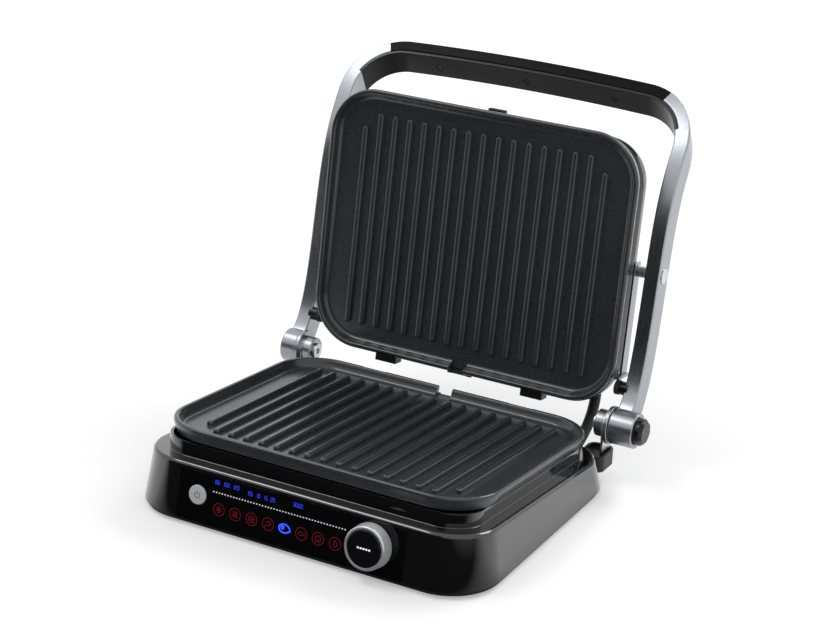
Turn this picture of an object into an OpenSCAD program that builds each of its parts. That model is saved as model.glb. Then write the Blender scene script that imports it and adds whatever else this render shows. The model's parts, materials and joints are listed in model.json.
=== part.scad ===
// Electric indoor grill with a hinged, floating lid, shown opened on its arms.
// Millimetres. X to the right, Y to the back, Z up. The origin is on the table,
// under the middle of the base.

/* [Base] */
// Width of the base at its foot
base_w = 354.6; // [320:0.2:400]
// Depth of the base at its foot
base_d = 290.6; // [275:0.2:320]
// Corner radius of the base at its foot
base_r = 48; // [30:1:60]
// Lean of the front face and the rear face from the vertical, in degrees
face_lean = 9.8; // [6:0.1:12]
// How far the upper shell stands out over its lower band, all round
overhang = 2; // [0.5:0.5:3]
// How far the side walls draw in between the overhang and the deck
side_draft = 7; // [3:0.5:9]
// Wall thickness of the mouldings
wall = 2.6; // [2:0.1:3.5]
// Height that the feet hold the base above the table
foot_h = 2.5; // [1.5:0.5:4]
// Radius of a foot
foot_r = 11; // [7:0.5:14]
// Height of the lower shell's visible band
band_h = 3.5; // [2.5:0.5:5]
// Backward slope of the cooking deck, in degrees
tilt = 5.25; // [2:0.25:6]

/* [Grill plates] */
// Width of a plate
plate_w = 327; // [300:1:330]
// Length of a plate, front to back
plate_l = 259; // [240:1:262]
// Corner radius of a plate
plate_r = 48; // [30:1:60]
// Number of ribs on a plate
rib_count = 17; // [9:1:19]
// Distance from rib to rib
rib_pitch = 16; // [10:0.5:16]
// Width of a rib
rib_w = 6.4; // [4:0.2:8]
// Height of a rib above the plate's floor
rib_h = 4.4; // [2:0.2:6]
// Length of a rib
rib_l = 213; // [180:1:216]
// How much shorter the two outer ribs are, at the front only
rib_cut = 14.4; // [0:0.2:20]
// Height of the rim above the rib tops
rim_h = 4.4; // [2:0.2:6]
// Width of the rim
rim_w = 7; // [4:0.5:9]
// Thickness of a plate's floor
plate_t = 4; // [3:0.5:6]
// Height of the lower plate's rib tops above the table, at the middle of the base
plate_z = 66.2; // [62:0.1:72]
// Distance of the lower plate's middle behind the middle of the base
plate_y = 7; // [4:0.5:10]
// Gap between the two rims when the grill is shut
shut_gap = 0.4; // [0.2:0.1:2]

/* [Lid and hinge] */
// Distance of the hinge axis behind the middle of the base
hinge_y = 148; // [146:0.5:152]
// Height of the hinge axis above the table
hinge_z = 55.5; // [50:0.5:58]
// How far the lid swings from open to shut, in degrees
open_angle = 92.85; // [85:0.05:96]
// Width of the lid's dark inner housing
housing_w = 320; // [314:1:324]
// Length of the lid's housing
housing_l = 257; // [252:1:262]
// Corner radius of the lid's housing
housing_r = 46; // [40:1:54]
// Depth of the lid's housing behind the plate
housing_d = 12.2; // [10:0.2:16]
// How far the housing stands out past the plate on the hinge side
housing_back = 3.5; // [3:0.5:5]
// Width of the lid's outer cover
cover_w = 316; // [306:1:318]
// Depth of the lid's outer cover
cover_d = 26; // [20:1:28]
// Distance of the lid's pivot pins behind the rib tops
pivot_back = 31.7; // [28:0.1:34]
// Radius of a pivot pin
pivot_r = 4; // [3:0.25:5]

/* [Arms and handle] */
// Distance from the middle of the grill to the inner face of an arm
arm_in = 172; // [172:0.5:176]
// Thickness of the bow, both at the arms and at the handle
arm_w = 15; // [12:0.5:18]
// Depth of an arm, seen from the side
arm_d = 24; // [18:0.5:26]
// Radius of an arm's round boss at the hinge
boss_r = 17; // [15:0.5:18]
// Radius of the hinge pins
pin_r = 5; // [4:0.25:6]
// Height of the handle's far edge above the table
handle_top = 341; // [330:1:350]
// How far the handle's far edge lies behind the pivot pins
handle_back = 83.5; // [74:0.5:88]
// Lean of the handle bar from the upright, in degrees
handle_lean = 26; // [15:1:35]
// Where the grip ends on the bow's shoulder, in degrees round it
grip_end = 65; // [45:1:80]
// Where the grip's inner cover ends on the shoulder, in degrees round it
cover_end = 22; // [10:1:40]
// Outer corner radius of the bow
bow_r = 60; // [40:1:62]
// Radius of the handle's slight arch
bow_arch = 2600; // [1500:100:4000]

/* [Controls] */
// Left edge of the control fascia
fascia_x0 = -122; // [-125:0.5:-117]
// Right edge of the control fascia
fascia_x1 = 110; // [106:0.5:116]
// Thickness of the control fascia
fascia_t = 2.4; // [1.8:0.2:3]
// Sideways place of the knob
knob_x = 77.5; // [72:0.5:82]
// Height of the knob's axis up the front face
knob_v = 26; // [24:0.5:28]
// Radius of the knob
knob_r = 20.5; // [17:0.5:22]
// How far the knob stands out
knob_h = 14; // [10:0.5:18]
// Radius of the push cap in the knob
cap_r = 16.6; // [10:0.2:17]
// Sideways place of the power button
power_x = -100.5; // [-106:0.5:-96]
// Radius of the power button
power_r = 8.9; // [6:0.1:10]
// How far the power button stands out
power_h = 1.6; // [1.2:0.1:3]

/* [Drip tray] */
// Width of the drip tray
tray_w = 180; // [140:1:200]
// Length of the drip tray, front to back
tray_l = 64; // [50:1:70]
// Height of the drip tray
tray_h = 14; // [10:1:15]

/* [Hidden] */
$fn = 64;
eps = 0.01;
seat = 0.3;
fit_gap = 0.05;
hull_fn = 48;

// Depths in the plate's own frame, measured from the rib tops.
floor_z = -rib_h;
under_z = floor_z - plate_t;
deck_drop = 21.7;
collar_in = 14;
collar_z = under_z - seat;
well_in = 17;

// The shell between its foot and its tilted deck.
shell_z0 = foot_h + band_h;
deck_front_z = plate_z + (base_d / 2) * tan(tilt) - deck_drop;
front_y = -base_d / 2 - overhang;
deck_front_y = front_y + (deck_front_z - shell_z0) * tan(face_lean);
deck_back_z = plate_z - (base_d / 2) * tan(tilt) - deck_drop;
deck_back_y = -front_y - (deck_back_z - shell_z0) * tan(face_lean);
deck_w = base_w + 2 * overhang - 2 * side_draft;
deck_l = (deck_back_y - deck_front_y) / cos(tilt);
deck_mid_y = (deck_back_y + deck_front_y) / 2 - plate_y + deck_drop * sin(tilt);
deck_r = base_r - 3;

// The lid, shut and then swung open about the hinge.
shut_lift = 2 * rim_h + shut_gap;
hinge = [0, hinge_y, hinge_z];
plate_mid = [0, plate_y * cos(tilt), plate_z - plate_y * sin(tilt)];
shut_mid = plate_mid + shut_lift * [0, sin(tilt), cos(tilt)];
function swing(p, a) = [p[0], p[1] * cos(a) - p[2] * sin(a), p[1] * sin(a) + p[2] * cos(a)];
lid_mid = hinge + swing(shut_mid - hinge, -open_angle);
lid_angle = 180 - tilt - open_angle;
function lid_point(y, z) = lid_mid + swing([0, y, z], lid_angle);
pivot = lid_point(0, -pivot_back);
housing_z = under_z - seat;
housing_mid = housing_l / 2 - plate_l / 2 - housing_back;
housing_end = housing_mid - housing_l / 2;
cover_z = housing_z - housing_d;
cover_l = housing_l - 5;
cover_r = housing_r - 4;
cover_edge = 18;

// The arm's centre line: two curves from the hinge by the pivot to the handle.
arm_out = arm_in + arm_w;
mid_dir = 12;
top_end = [pivot[1] + handle_back, handle_top];
low_a = [hinge_y + 36, hinge_z + 6];
low_b = [pivot[1] - 52 * sin(mid_dir), pivot[2] - 52 * cos(mid_dir)];
high_a = [pivot[1] + 58 * sin(mid_dir), pivot[2] + 58 * cos(mid_dir)];
high_b = [pivot[1] + 20, pivot[2] + 100];
function bez(a, b, c, d, t) =
    pow(1 - t, 3) * a + 3 * t * pow(1 - t, 2) * b + 3 * t * t * (1 - t) * c + pow(t, 3) * d;
function low_at(t) = bez([hinge_y, hinge_z], low_a, low_b, [pivot[1], pivot[2]], t);
function high_at(t) = bez([pivot[1], pivot[2]], high_a, high_b, top_end, t);
arm_steps = 12;
spine = concat(
    [for (i = [0 : arm_steps - 1]) low_at(i / arm_steps)],
    [for (i = [0 : arm_steps]) high_at(i / arm_steps)],
    [top_end + [20, 20]]
);
function unit(v) = v / norm(v);
function along(i) = unit(spine[min(i + 1, len(spine) - 1)] - spine[max(i - 1, 0)]);
function side_of(i, k) = spine[i] + k * [along(i)[1], -along(i)[0]];
// Along the lean of the handle bar, the bow is measured by its reach from the origin.
bow_reach = top_end[0] * cos(handle_lean) + top_end[1] * sin(handle_lean);
bow_in_r = bow_r - arm_w;
bow_mid = arm_in + arm_w - bow_r;
arch_y = bow_reach - bow_arch;
corner_y = arch_y + sqrt(pow(bow_arch - bow_r, 2) - pow(bow_mid, 2));
arch_half = asin(bow_mid / (bow_arch - bow_r));
corner_steps = 12;
arch_steps = 10;
top_dir = 45;
bar_slant = arm_w / cos(top_dir - handle_lean);
bar_face = top_end - bar_slant * [cos(top_dir), sin(top_dir)];
bar_z = bar_face[1] * cos(handle_lean) - bar_face[0] * sin(handle_lean);
cover_strip = 3;
grip_screw_x = [-95, 0, 95];
screw_r = 1.5;
head_r = 2.8;
grip_screw_l = cover_strip + 5;
function screw_reach(x) = arch_y + sqrt(pow(bow_arch - arm_w, 2) - x * x);

// Hinge pieces along X.
boss_x0 = arm_in - 0.5;
boss_x1 = arm_out + 9;
flange_t = 4.5;
flange_x = boss_x0 - flange_t;
post_t = 2.5;
post_x = flange_x - post_t;
post_half = 10.5;
post_y = hinge_y - 3;
disc_r = boss_r + 1.2;
collar_x = post_x - 8.5;
collar_r = 13;
pin_head_t = 3;
pin_head_r = pin_r + 2.5;
pin_hex_r = 3.2;
pin_x1 = boss_x0 + 11;

// The cups that hold the hinge posts, let into the rear corners of the shell.
socket_x1 = boss_x0;
socket_w = 25.5;
socket_x = socket_x1 - socket_w / 2;
socket_y0 = 124;
socket_y1 = hinge_y + 9;
socket_l = socket_y1 - socket_y0;
socket_y = (socket_y0 + socket_y1) / 2;
socket_r = 8;
socket_z0 = 14.5;
socket_z1 = 30;
socket_rim = 2.4;
socket_dip = 4;
socket_gap = 0.2;
post_z = socket_z0 + 3.2;

// The hinge release button, round in its bore and eight-sided outside.
button_r = 13;
button_out = 8;
press = 4;
button_x0 = boss_x1 - 7;
button_face = 3;
button_sides = 8;

// Controls, in the frame of the front face.
power_v = 26;
fascia_v0 = 0.9;
fascia_v1 = (deck_front_z - shell_z0) / cos(face_lean) - 5.2;
frame_t = 3.6;
frame_lip = 5;
board_gap = 7;
board_t = 1.6;
board_h = 36;
board_v = 23;
shaft_r = 3;
switch_r = 3;
knob_gap = 0.8;
knob_web = 6;
knob_draft = 0.8;
cap_proud = 0.6;
press_travel = 1;
cap_low = knob_gap + knob_web + press_travel + 0.4;
fascia_w = fascia_x1 - fascia_x0;
frame_side = 3;
board_rib_t = 3;
board_rib_h = 30;
encoder_w = 13;
bush_r = shaft_r + 2;
shaft_l = 5.5;
switch_w = 8;
switch_h = 3.4;

// Clips.
clip_x = 80;
clip_w = 23;
clip_bite = 2;
clip_slack = 0.6;
clip_top = -0.6;
clip_out = 8;
low_clip_out = 3.5;
low_clip_foot = -deck_drop + seat;
lid_clip_foot = under_z - 5;
latch_w = 18;
spout_w = 26;
spout_l = 4;
drain_w = 32;
drain_l = 9;

// Strap and stop.
strap_t = 2;
strap_w = 13;
strap_foot = 3;
strap_foot_w = 6;
strap_y0 = -104;
strap_y1 = 8;
stop_y = -109.4;
stop_z = -11.7;
stop_r = 7;
stop_x0 = 161.5;
stop_w = 4.5;
stop_stem_r = 6.5;
stop_deep = 3;
plug_r = 7.5;
plug_deep = 2;
pivot_deep = 8.5;

// The screws that join the two shells, just inside the deck's edge.
screw_x = deck_w / 2 - 8.8;
screw_ys = [-0.227 * base_d, 0.213 * base_d];
boss_wall_r = 5;
low_boss_h = 10;
sunk = 2.6;
screw_head_r = 3;
screw_head_t = 2;
thread_r = 1.4;
foot_in = 40;
label_w = 200;
label_l = 150;
label_r = 8;
label_proud = 0.4;
vent_half = 4;
vent_pitch = 16;
vent_w = 4;
vent_l = 40;
vent_y = -60;

// Electrics inside the base.
main_w = base_w * 0.254;
main_l = base_d * 0.2065;
main_x = -base_w * 0.3666;
main_y = -base_d * 0.344;
pillar_h = 5;
pillar_r = 2.5;
pillar_in = 4;
terminal_y = base_d / 2 - 75.3;
terminal_pitch = 8;
gland_x = -118;
gland_v = 14;
gland_r = 8;
gland_l = 19;
cord_r = 3.8;

// Heating, under each plate.
rod_r = 3.5;
rod_bend = 30;
rod_end = 45;
rod_z = under_z - rod_r - seat;
pan_w = plate_w - 77;
pan_l = plate_l - 33;
pan_r = 30;
pan_floor = under_z - 9.6;
pan_wall = 5;
sheet_t = 1;
run_w = pan_w / 2 - 20;
run_l = pan_l / 2 - 43;
bracket_w = deck_w / 2 - well_in - pan_w / 2 + 0.5;
bracket_l = 16;
probe_r = 7.5;
probe_flange_r = 10;
probe_flange_t = 3;
room_in = 13;

// Drip tray.
tray_z = shell_z0 + seat;
tray_t = 2;
tray_lip = 50;

// Lid screws.
lid_boss_r = 4;
lid_head_r = 3.4;
lid_head_t = 1.2;
lid_screw_l = 14;
latch_out = 6;
latch_t = 6;

// The sleeve's route from the base to the lid.
sleeve_x = 133;
sleeve_v = 16;
sleeve_r = 5.5;
sleeve_deep = 13;
sleeve_rings = 10;
sleeve_sides = 12;
grommet_r = 7;
grommet_deep = 4;
grommet_out = 2.5;
sleeve_end = lid_point(housing_mid - cover_l / 2 + 8, cover_z - sleeve_deep);
function back_point(v, w) = [
    -front_y - v * sin(face_lean) + w * cos(face_lean),
    shell_z0 + v * cos(face_lean) + w * sin(face_lean)
];
function sleeve_at(t) = let (
        a = back_point(sleeve_v, -grommet_deep),
        d = [sleeve_end[1], sleeve_end[2]],
        p = bez(a, back_point(sleeve_v, 28), d - [0, 24], d, t)
    ) [sleeve_x, p[0], p[1]];
function deck_z_at(y) = plate_z - y * tan(tilt) - deck_drop;

stop_at = lid_point(stop_y, stop_z);
// The housing's side where the strap's foot passes its round corner.
foot_y = housing_r + housing_end - (stop_y + stop_r + seat + strap_foot);
foot_x = housing_w / 2 - housing_r + sqrt(pow(housing_r, 2) - pow(foot_y, 2)) + seat;

// A flat rounded rectangle with true arcs.
module round_rect(w, l, r) {
    square([w - 2 * r, l], center = true);
    square([w, l - 2 * r], center = true);
    for (sx = [-1, 1]) for (sy = [-1, 1])
        translate([sx * (w / 2 - r), sy * (l / 2 - r)]) circle(r);
}

module slab(w, l, r, z0, z1) {
    translate([0, 0, z0]) linear_extrude(z1 - z0) round_rect(w, l, r);
}

module ring(w, l, r, t, z0, z1) {
    translate([0, 0, z0]) linear_extrude(z1 - z0) difference() {
        round_rect(w, l, r);
        round_rect(w - 2 * t, l - 2 * t, r - t);
    }
}

// A rounded block on z = 0 whose top edge is rounded all the way round.
module pillow(w, l, r, edge, h) {
    for (sx = [-1, 1]) for (sy = [-1, 1]) translate([sx * (w / 2 - r), sy * (l / 2 - r), 0])
        rotate([0, 0, corner_turn(sx, sy)])
            rotate_extrude(angle = 90) pillow_profile(r, edge, h);
    for (turn = [0, 180]) rotate([0, 0, turn]) {
        translate([w / 2 - r, 0, 0]) rotate([90, 0, 0])
            linear_extrude(l - 2 * r, center = true) pillow_profile(r, edge, h);
        translate([0, l / 2 - r, 0]) rotate([90, 0, 90])
            linear_extrude(w - 2 * r, center = true) pillow_profile(r, edge, h);
    }
    translate([r - w / 2, r - l / 2, 0]) cube([w - 2 * r, l - 2 * r, h]);
}

function corner_turn(sx, sy) = sx > 0 ? (sy > 0 ? 0 : 270) : (sy > 0 ? 90 : 180);

module pillow_profile(r, edge, h) {
    square([r - edge, h]);
    intersection() {
        square([r, h]);
        union() {
            square([r, h - edge]);
            translate([r - edge, h - edge]) circle(edge);
        }
    }
}

module x_rod(r, x0, x1) {
    translate([x0, 0, 0]) rotate([0, 90, 0]) cylinder(r = r, h = x1 - x0);
}

module on_plate() {
    translate(plate_mid) rotate([-tilt, 0, 0]) children();
}

module on_lid() {
    translate(lid_mid) rotate([lid_angle, 0, 0]) children();
}

module on_front() {
    translate([0, front_y, shell_z0]) rotate([90 - face_lean, 0, 0]) children();
}

module on_back() {
    mirror([0, 1, 0]) on_front() children();
}

module both_sides() {
    children();
    mirror([1, 0, 0]) children();
}

// The solid form of the base above its lower band, less an inset all round.
module base_form(inset, top_cut) {
    hull() {
        translate([0, 0, shell_z0 - (inset > 0 ? eps : 0)])
            linear_extrude(eps) round_rect(base_w + 2 * (overhang - inset),
                base_d + 2 * (overhang - inset), base_r + overhang - inset, $fn = hull_fn);
        on_plate() translate([0, deck_mid_y, -deck_drop - top_cut - eps])
            linear_extrude(eps) round_rect(deck_w - 2 * inset, deck_l - 2 * inset,
                deck_r - inset, $fn = hull_fn);
    }
}

// One grill plate in its own frame, its front edge towards +y.
module grill_plate() {
    difference() {
        union() {
            slab(plate_w, plate_l, plate_r, under_z, floor_z);
            ring(plate_w, plate_l, plate_r, rim_w - 2, floor_z - eps, rim_h);
            ring(plate_w - 4, plate_l - 4, plate_r - 2, rim_w, floor_z - eps, rim_h - 3);
            for (i = [0 : rib_count - 1]) {
                x = (i - (rib_count - 1) / 2) * rib_pitch;
                cut = (i == 0 || i == rib_count - 1) ? rib_cut : 0;
                translate([x, -cut / 2, floor_z - eps])
                    linear_extrude(rib_h + eps) round_rect(rib_w, rib_l - cut, rib_w / 2 - eps);
            }
            // Drain spout at the hinge edge.
            translate([-spout_w / 2, -plate_l / 2 - spout_l, under_z])
                cube([spout_w, spout_l + 5, plate_t]);
        }
        // Channel that lets fat run out through the rim.
        translate([5 - spout_w / 2, -plate_l / 2 - spout_l - 1, floor_z - 1])
            cube([spout_w - 10, spout_l + 14, rim_h + rib_h + 2]);
        // Notches in the rim for the two clips, over a ledge that they hold down.
        for (s = [-1, 1]) translate([s * clip_x - clip_w / 2 - 1, -plate_l / 2 - 1, floor_z])
            cube([clip_w + 2, clip_bite + 1.5, 20]);
    }
}

// A release clip in the plate's frame: a bar beside the rim with a tongue over its ledge.
module clip(out, foot_z) {
    translate([-clip_w / 2, -plate_l / 2 - out, foot_z])
        cube([clip_w, out - clip_slack, clip_top - foot_z]);
    translate([-clip_w / 2 + 1, -plate_l / 2 - clip_slack - 0.1, floor_z + seat])
        cube([clip_w - 2, clip_bite + clip_slack + 0.1, clip_top - floor_z - seat]);
}

// A heating rod bent to a long loop, its two ends apart at the front.
module heater_run() {
    straight = run_w - rod_bend;
    translate([0, 0, rod_z]) {
        for (s = [-1, 1]) translate([s * run_w, 0, 0]) rotate([90, 0, 0])
            cylinder(r = rod_r, h = 2 * run_l, center = true);
        for (s = [-1, 1]) translate([s * straight, run_l, 0])
            rotate([0, 0, s > 0 ? 0 : 90]) rod_corner();
        translate([-straight, run_l + rod_bend, 0]) rotate([0, 90, 0])
            cylinder(r = rod_r, h = 2 * straight);
        for (s = [-1, 1]) translate([s * straight, -run_l, 0])
            rotate([0, 0, s > 0 ? 270 : 180]) rod_corner();
        for (s = [-1, 1]) translate([s * rod_end, -run_l - rod_bend, 0]) rotate([0, s * 90, 0])
            cylinder(r = rod_r, h = straight - rod_end);
    }
}

module rod_corner() {
    rotate_extrude(angle = 90) translate([rod_bend, 0]) circle(rod_r);
}

module reflector_pan() {
    difference() {
        union() {
            slab(pan_w, pan_l, pan_r, pan_floor, pan_floor + sheet_t);
            ring(pan_w, pan_l, pan_r, sheet_t, pan_floor + sheet_t - 0.1, pan_floor + pan_wall);
        }
        translate([0, 0, pan_floor - 1]) cylinder(r = probe_r + seat, h = 4);
    }
}

module thermostat() {
    translate([0, 0, pan_floor - probe_flange_t]) {
        cylinder(r = probe_r, h = under_z - seat - pan_floor + probe_flange_t);
        cylinder(r = probe_flange_r, h = probe_flange_t);
    }
}

module lower_shell() color([0.16, 0.16, 0.17]) {
    difference() {
        union() {
            slab(base_w, base_d, base_r, foot_h, foot_h + wall);
            ring(base_w, base_d, base_r, wall, foot_h, shell_z0);
            // Raised field for a rating label, proud of the floor.
            slab(label_w, label_l, label_r, foot_h - label_proud, foot_h + eps);
            base_screw_places() cylinder(r = boss_wall_r, h = low_boss_h);
        }
        base_screw_places() translate([0, 0, -1]) {
            cylinder(r = screw_r + 0.2, h = 2 * low_boss_h);
            cylinder(r = screw_head_r + 0.4, h = sunk + 1);
        }
        for (i = [-vent_half : vent_half]) translate([i * vent_pitch - vent_w / 2, vent_y, 0])
            cube([vent_w, vent_l, foot_h + wall + 1]);
    }
}

module base_screw_places() {
    for (sx = [-1, 1]) for (y = screw_ys) translate([sx * screw_x, y, foot_h]) children();
}

module socket_places() {
    both_sides() translate([socket_x, socket_y, 0]) children();
}

module upper_shell() color([0.05, 0.05, 0.055]) {
    difference() {
        union() {
            difference() {
                base_form(0, 0);
                base_form(wall, wall);
                on_plate() translate([0, deck_mid_y, 0])
                    slab(deck_w - 2 * well_in, deck_l - 2 * well_in, deck_r - well_in + 4, -60, 20);
            }
            on_plate() translate([0, deck_mid_y, 0])
                ring(deck_w - 2 * collar_in, deck_l - 2 * collar_in, deck_r - collar_in,
                    well_in - collar_in, -deck_drop - 1, collar_z);
            // Thicker front wall that carries the fascia.
            on_front() translate([fascia_x0 - frame_side, fascia_v0 + seat, -fascia_t - frame_t])
                cube([fascia_w + 2 * frame_side, fascia_v1 - fascia_v0 + 2, frame_t + 1]);
            // Ribs that the control board stands on.
            on_front() for (x = [fascia_x0 + 1, fascia_x1 - 1 - board_rib_t])
                translate([x, board_v - board_rib_h / 2, -fascia_t - board_gap])
                    cube([board_rib_t, board_rib_h, board_gap]);
            for (sx = [-1, 1]) for (y = screw_ys) translate([sx * screw_x, y, foot_h + low_boss_h])
                cylinder(r = boss_wall_r, h = deck_z_at(y) - foot_h - low_boss_h - 1);
        }
        // Recess and window of the fascia.
        on_front() translate([fascia_x0, fascia_v0 - seat, -fascia_t])
            cube([fascia_w, fascia_v1 - fascia_v0 + 2 * seat, 20]);
        on_front() translate([fascia_x0 + frame_lip, fascia_v0 + frame_lip, -20])
            cube([fascia_w - 2 * frame_lip, fascia_v1 - fascia_v0 - 2 * frame_lip, 40]);
        base_screw_places() translate([0, 0, low_boss_h - 1]) cylinder(r = thread_r, h = 12);
        socket_places() slab(socket_w + 2 * socket_gap, socket_l + 2 * socket_gap,
            socket_r + socket_gap, socket_z0 - socket_gap, socket_z1 + socket_gap);
        // Drain under the spout of the lower plate.
        on_plate() translate([-drain_w / 2, plate_l / 2 + spout_l - drain_l, -2 * deck_drop])
            cube([drain_w, drain_l, 2 * deck_drop + under_z - 0.5]);
        // Mouth of the drip tray.
        translate([-tray_w / 2 - 0.5, base_d / 2 - 30, shell_z0 - 1])
            cube([tray_w + 1, 60, tray_z + tray_h + 1.5 - shell_z0]);
        on_back() translate([gland_x, gland_v, -20]) cylinder(r = gland_r + fit_gap, h = 40);
        on_back() translate([sleeve_x, sleeve_v, -20]) cylinder(r = grommet_r + fit_gap, h = 40);
    }
}

module rubber_feet() color([0.1, 0.1, 0.1])
    for (sx = [-1, 1]) for (sy = [-1, 1])
        translate([sx * (base_w / 2 - foot_in), sy * (base_d / 2 - foot_in), 0])
            cylinder(r = foot_r, h = foot_h);

module base_screws() color([0.6, 0.6, 0.62])
    base_screw_places() translate([0, 0, sunk - screw_head_t]) {
        cylinder(r = screw_head_r, h = screw_head_t);
        cylinder(r = thread_r, h = low_boss_h + 6);
    }

module control_fascia() color([0.03, 0.03, 0.035]) on_front() difference() {
    translate([fascia_x0 + seat, fascia_v0, -fascia_t])
        cube([fascia_w - 2 * seat, fascia_v1 - fascia_v0, fascia_t]);
    translate([power_x, power_v, -fascia_t - 1]) cylinder(r = power_r + 0.3, h = fascia_t + 2);
    translate([knob_x, knob_v, -fascia_t - 1]) cylinder(r = bush_r + 0.2, h = fascia_t + 2);
}

module control_board() color([0.05, 0.3, 0.12]) on_front() difference() {
    translate([fascia_x0 + 0.5, board_v - board_h / 2, -fascia_t - board_gap - board_t])
        cube([fascia_w - 1, board_h, board_t]);
    translate([knob_x, knob_v, -40]) cylinder(r = shaft_r + 0.4, h = 60);
}

module encoder() color([0.55, 0.56, 0.58]) on_front() translate([knob_x, knob_v, 0]) {
    translate([-encoder_w / 2, -encoder_w / 2, -fascia_t - board_gap])
        cube([encoder_w, encoder_w, board_gap - 1]);
    translate([0, 0, -fascia_t - 1.1]) cylinder(r = bush_r, h = 1.2);
    cylinder(r = shaft_r, h = shaft_l);
    translate([0, 0, -fascia_t]) cylinder(r = shaft_r, h = fascia_t);
}

module power_switch() color([0.12, 0.12, 0.12]) on_front()
    translate([power_x, power_v, -fascia_t - board_gap]) {
        translate([-switch_w / 2, -switch_w / 2, 0]) cube([switch_w, switch_w, 3]);
        cylinder(r = switch_r, h = switch_h);
    }

// The board on its four pillars, with a relay, a transformer and a capacitor.
module main_board() color([0.1, 0.28, 0.14]) translate([main_x, main_y, foot_h + wall]) {
    translate([0, 0, pillar_h]) cube([main_w, main_l, board_t]);
    for (x = [pillar_in, main_w - pillar_in]) for (y = [pillar_in, main_l - pillar_in])
        translate([x, y, 0]) cylinder(r = pillar_r, h = pillar_h);
    translate([0, 0, pillar_h + board_t]) {
        translate([main_w * 0.11, main_l * 0.13, 0]) cube([main_w * 0.27, main_l * 0.3, 12]);
        translate([main_w * 0.47, main_l * 0.13, 0]) cube([main_w * 0.18, main_l * 0.2, 12]);
        translate([main_w * 0.76, main_l * 0.63, 0]) cylinder(r = main_l * 0.1, h = 13);
    }
}

module terminal_block() color([0.85, 0.85, 0.8])
    translate([main_x, terminal_y, foot_h + wall]) difference() {
        cube([3 * terminal_pitch + 2, 18, 14]);
        for (i = [0 : 2]) translate([(i + 0.625) * terminal_pitch, -1, 8])
            rotate([-90, 0, 0]) cylinder(r = 2, h = 20);
    }

module cord_gland() color([0.08, 0.08, 0.08]) on_back() translate([gland_x, gland_v, 0])
    difference() {
        union() {
            translate([0, 0, 1 - gland_l]) cylinder(r = gland_r, h = gland_l);
            translate([0, 0, 0.1]) cylinder(r = gland_r + 2.5, h = 2);
        }
        translate([0, 0, -gland_l - 1]) cylinder(r = cord_r, h = 2 * gland_l);
    }

module lower_reflector() color([0.75, 0.76, 0.78]) on_plate() {
    reflector_pan();
    // Brackets that hang the pan on the shell's collar.
    both_sides() for (sy = [-1, 1])
        translate([pan_w / 2 - 0.5, sy * pan_l * 0.265 - bracket_l / 2, pan_floor])
            cube([bracket_w, bracket_l, sheet_t]);
}

module lower_heater() color([0.35, 0.35, 0.37]) on_plate() rotate([0, 0, 180]) heater_run();

module lower_thermostat() color([0.7, 0.7, 0.72]) on_plate() thermostat();

module lower_plate() color([0.22, 0.22, 0.23]) on_plate() rotate([0, 0, 180]) grill_plate();

module drip_tray() color([0.12, 0.12, 0.13])
    translate([-tray_w / 2, base_d / 2 - tray_l, tray_z]) {
        difference() {
            cube([tray_w, tray_l, tray_h]);
            translate([tray_t, tray_t, tray_t]) cube([tray_w - 2 * tray_t, tray_l - 2 * tray_t, tray_h]);
        }
        // Finger lip at the rear.
        translate([(tray_w - tray_lip) / 2, tray_l - eps, tray_h - 4]) cube([tray_lip, 4, 4]);
    }

// Cups with a low rim, slotted for the posts.
module hinge_sockets() color([0.06, 0.06, 0.06]) socket_places() difference() {
    slab(socket_w, socket_l, socket_r, socket_z0, socket_z1);
    slab(socket_w - 2 * socket_rim, socket_l - 2 * socket_rim, socket_r - socket_rim,
        socket_z1 - socket_dip, socket_z1 + 1);
    translate([post_x - socket_x - 0.1, post_y - post_half - socket_y - 0.5, post_z - 0.2])
        cube([post_t + 0.2, 2 * post_half + 1, hinge_z]);
}

module hinge_posts() color([0.8, 0.8, 0.82]) both_sides() difference() {
    union() {
        translate([post_x, post_y - post_half, post_z]) cube([post_t, 2 * post_half, hinge_z - post_z]);
        on_hinge() x_rod(collar_r, post_x, post_x + post_t);
    }
    on_hinge() x_rod(pin_r + fit_gap, post_x - 1, post_x + post_t + 1);
}

module hinge_flanges() color([0.78, 0.79, 0.8]) both_sides() on_hinge() difference() {
    union() {
        x_rod(disc_r, flange_x, boss_x0 - seat);
        x_rod(collar_r, collar_x, post_x);
    }
    x_rod(pin_r + fit_gap, collar_x - pin_head_t, boss_x0 + 2);
}

module hinge_pins() color([0.7, 0.7, 0.72]) both_sides() on_hinge() {
    x_rod(pin_r, collar_x, pin_x1);
    difference() {
        x_rod(pin_head_r, collar_x - pin_head_t, collar_x);
        translate([collar_x - pin_head_t - 1, 0, 0]) rotate([0, 90, 0])
            cylinder(r = pin_hex_r, h = pin_head_t, $fn = 6);
    }
}

module on_hinge() {
    translate([0, hinge_y, hinge_z]) children();
}

module knob_ring() color([0.75, 0.76, 0.78]) on_front() translate([knob_x, knob_v, knob_gap])
    difference() {
        union() {
            cylinder(r1 = knob_r, r2 = knob_r - knob_draft, h = knob_h - knob_gap - 1);
            translate([0, 0, knob_h - knob_gap - 1 - eps])
                cylinder(r1 = knob_r - knob_draft, r2 = knob_r - knob_draft - 1, h = 1);
        }
        translate([0, 0, knob_web]) cylinder(r = cap_r + fit_gap, h = knob_h);
        translate([0, 0, -1]) cylinder(r = shaft_r + fit_gap, h = 20);
    }

module knob_cap() color([0.04, 0.04, 0.045]) on_front()
    translate([knob_x, knob_v, cap_low]) {
        cylinder(r = cap_r, h = knob_h - cap_low);
        translate([0, 0, knob_h - cap_low - eps]) cylinder(r1 = cap_r, r2 = cap_r - 0.8, h = cap_proud);
    }

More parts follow.
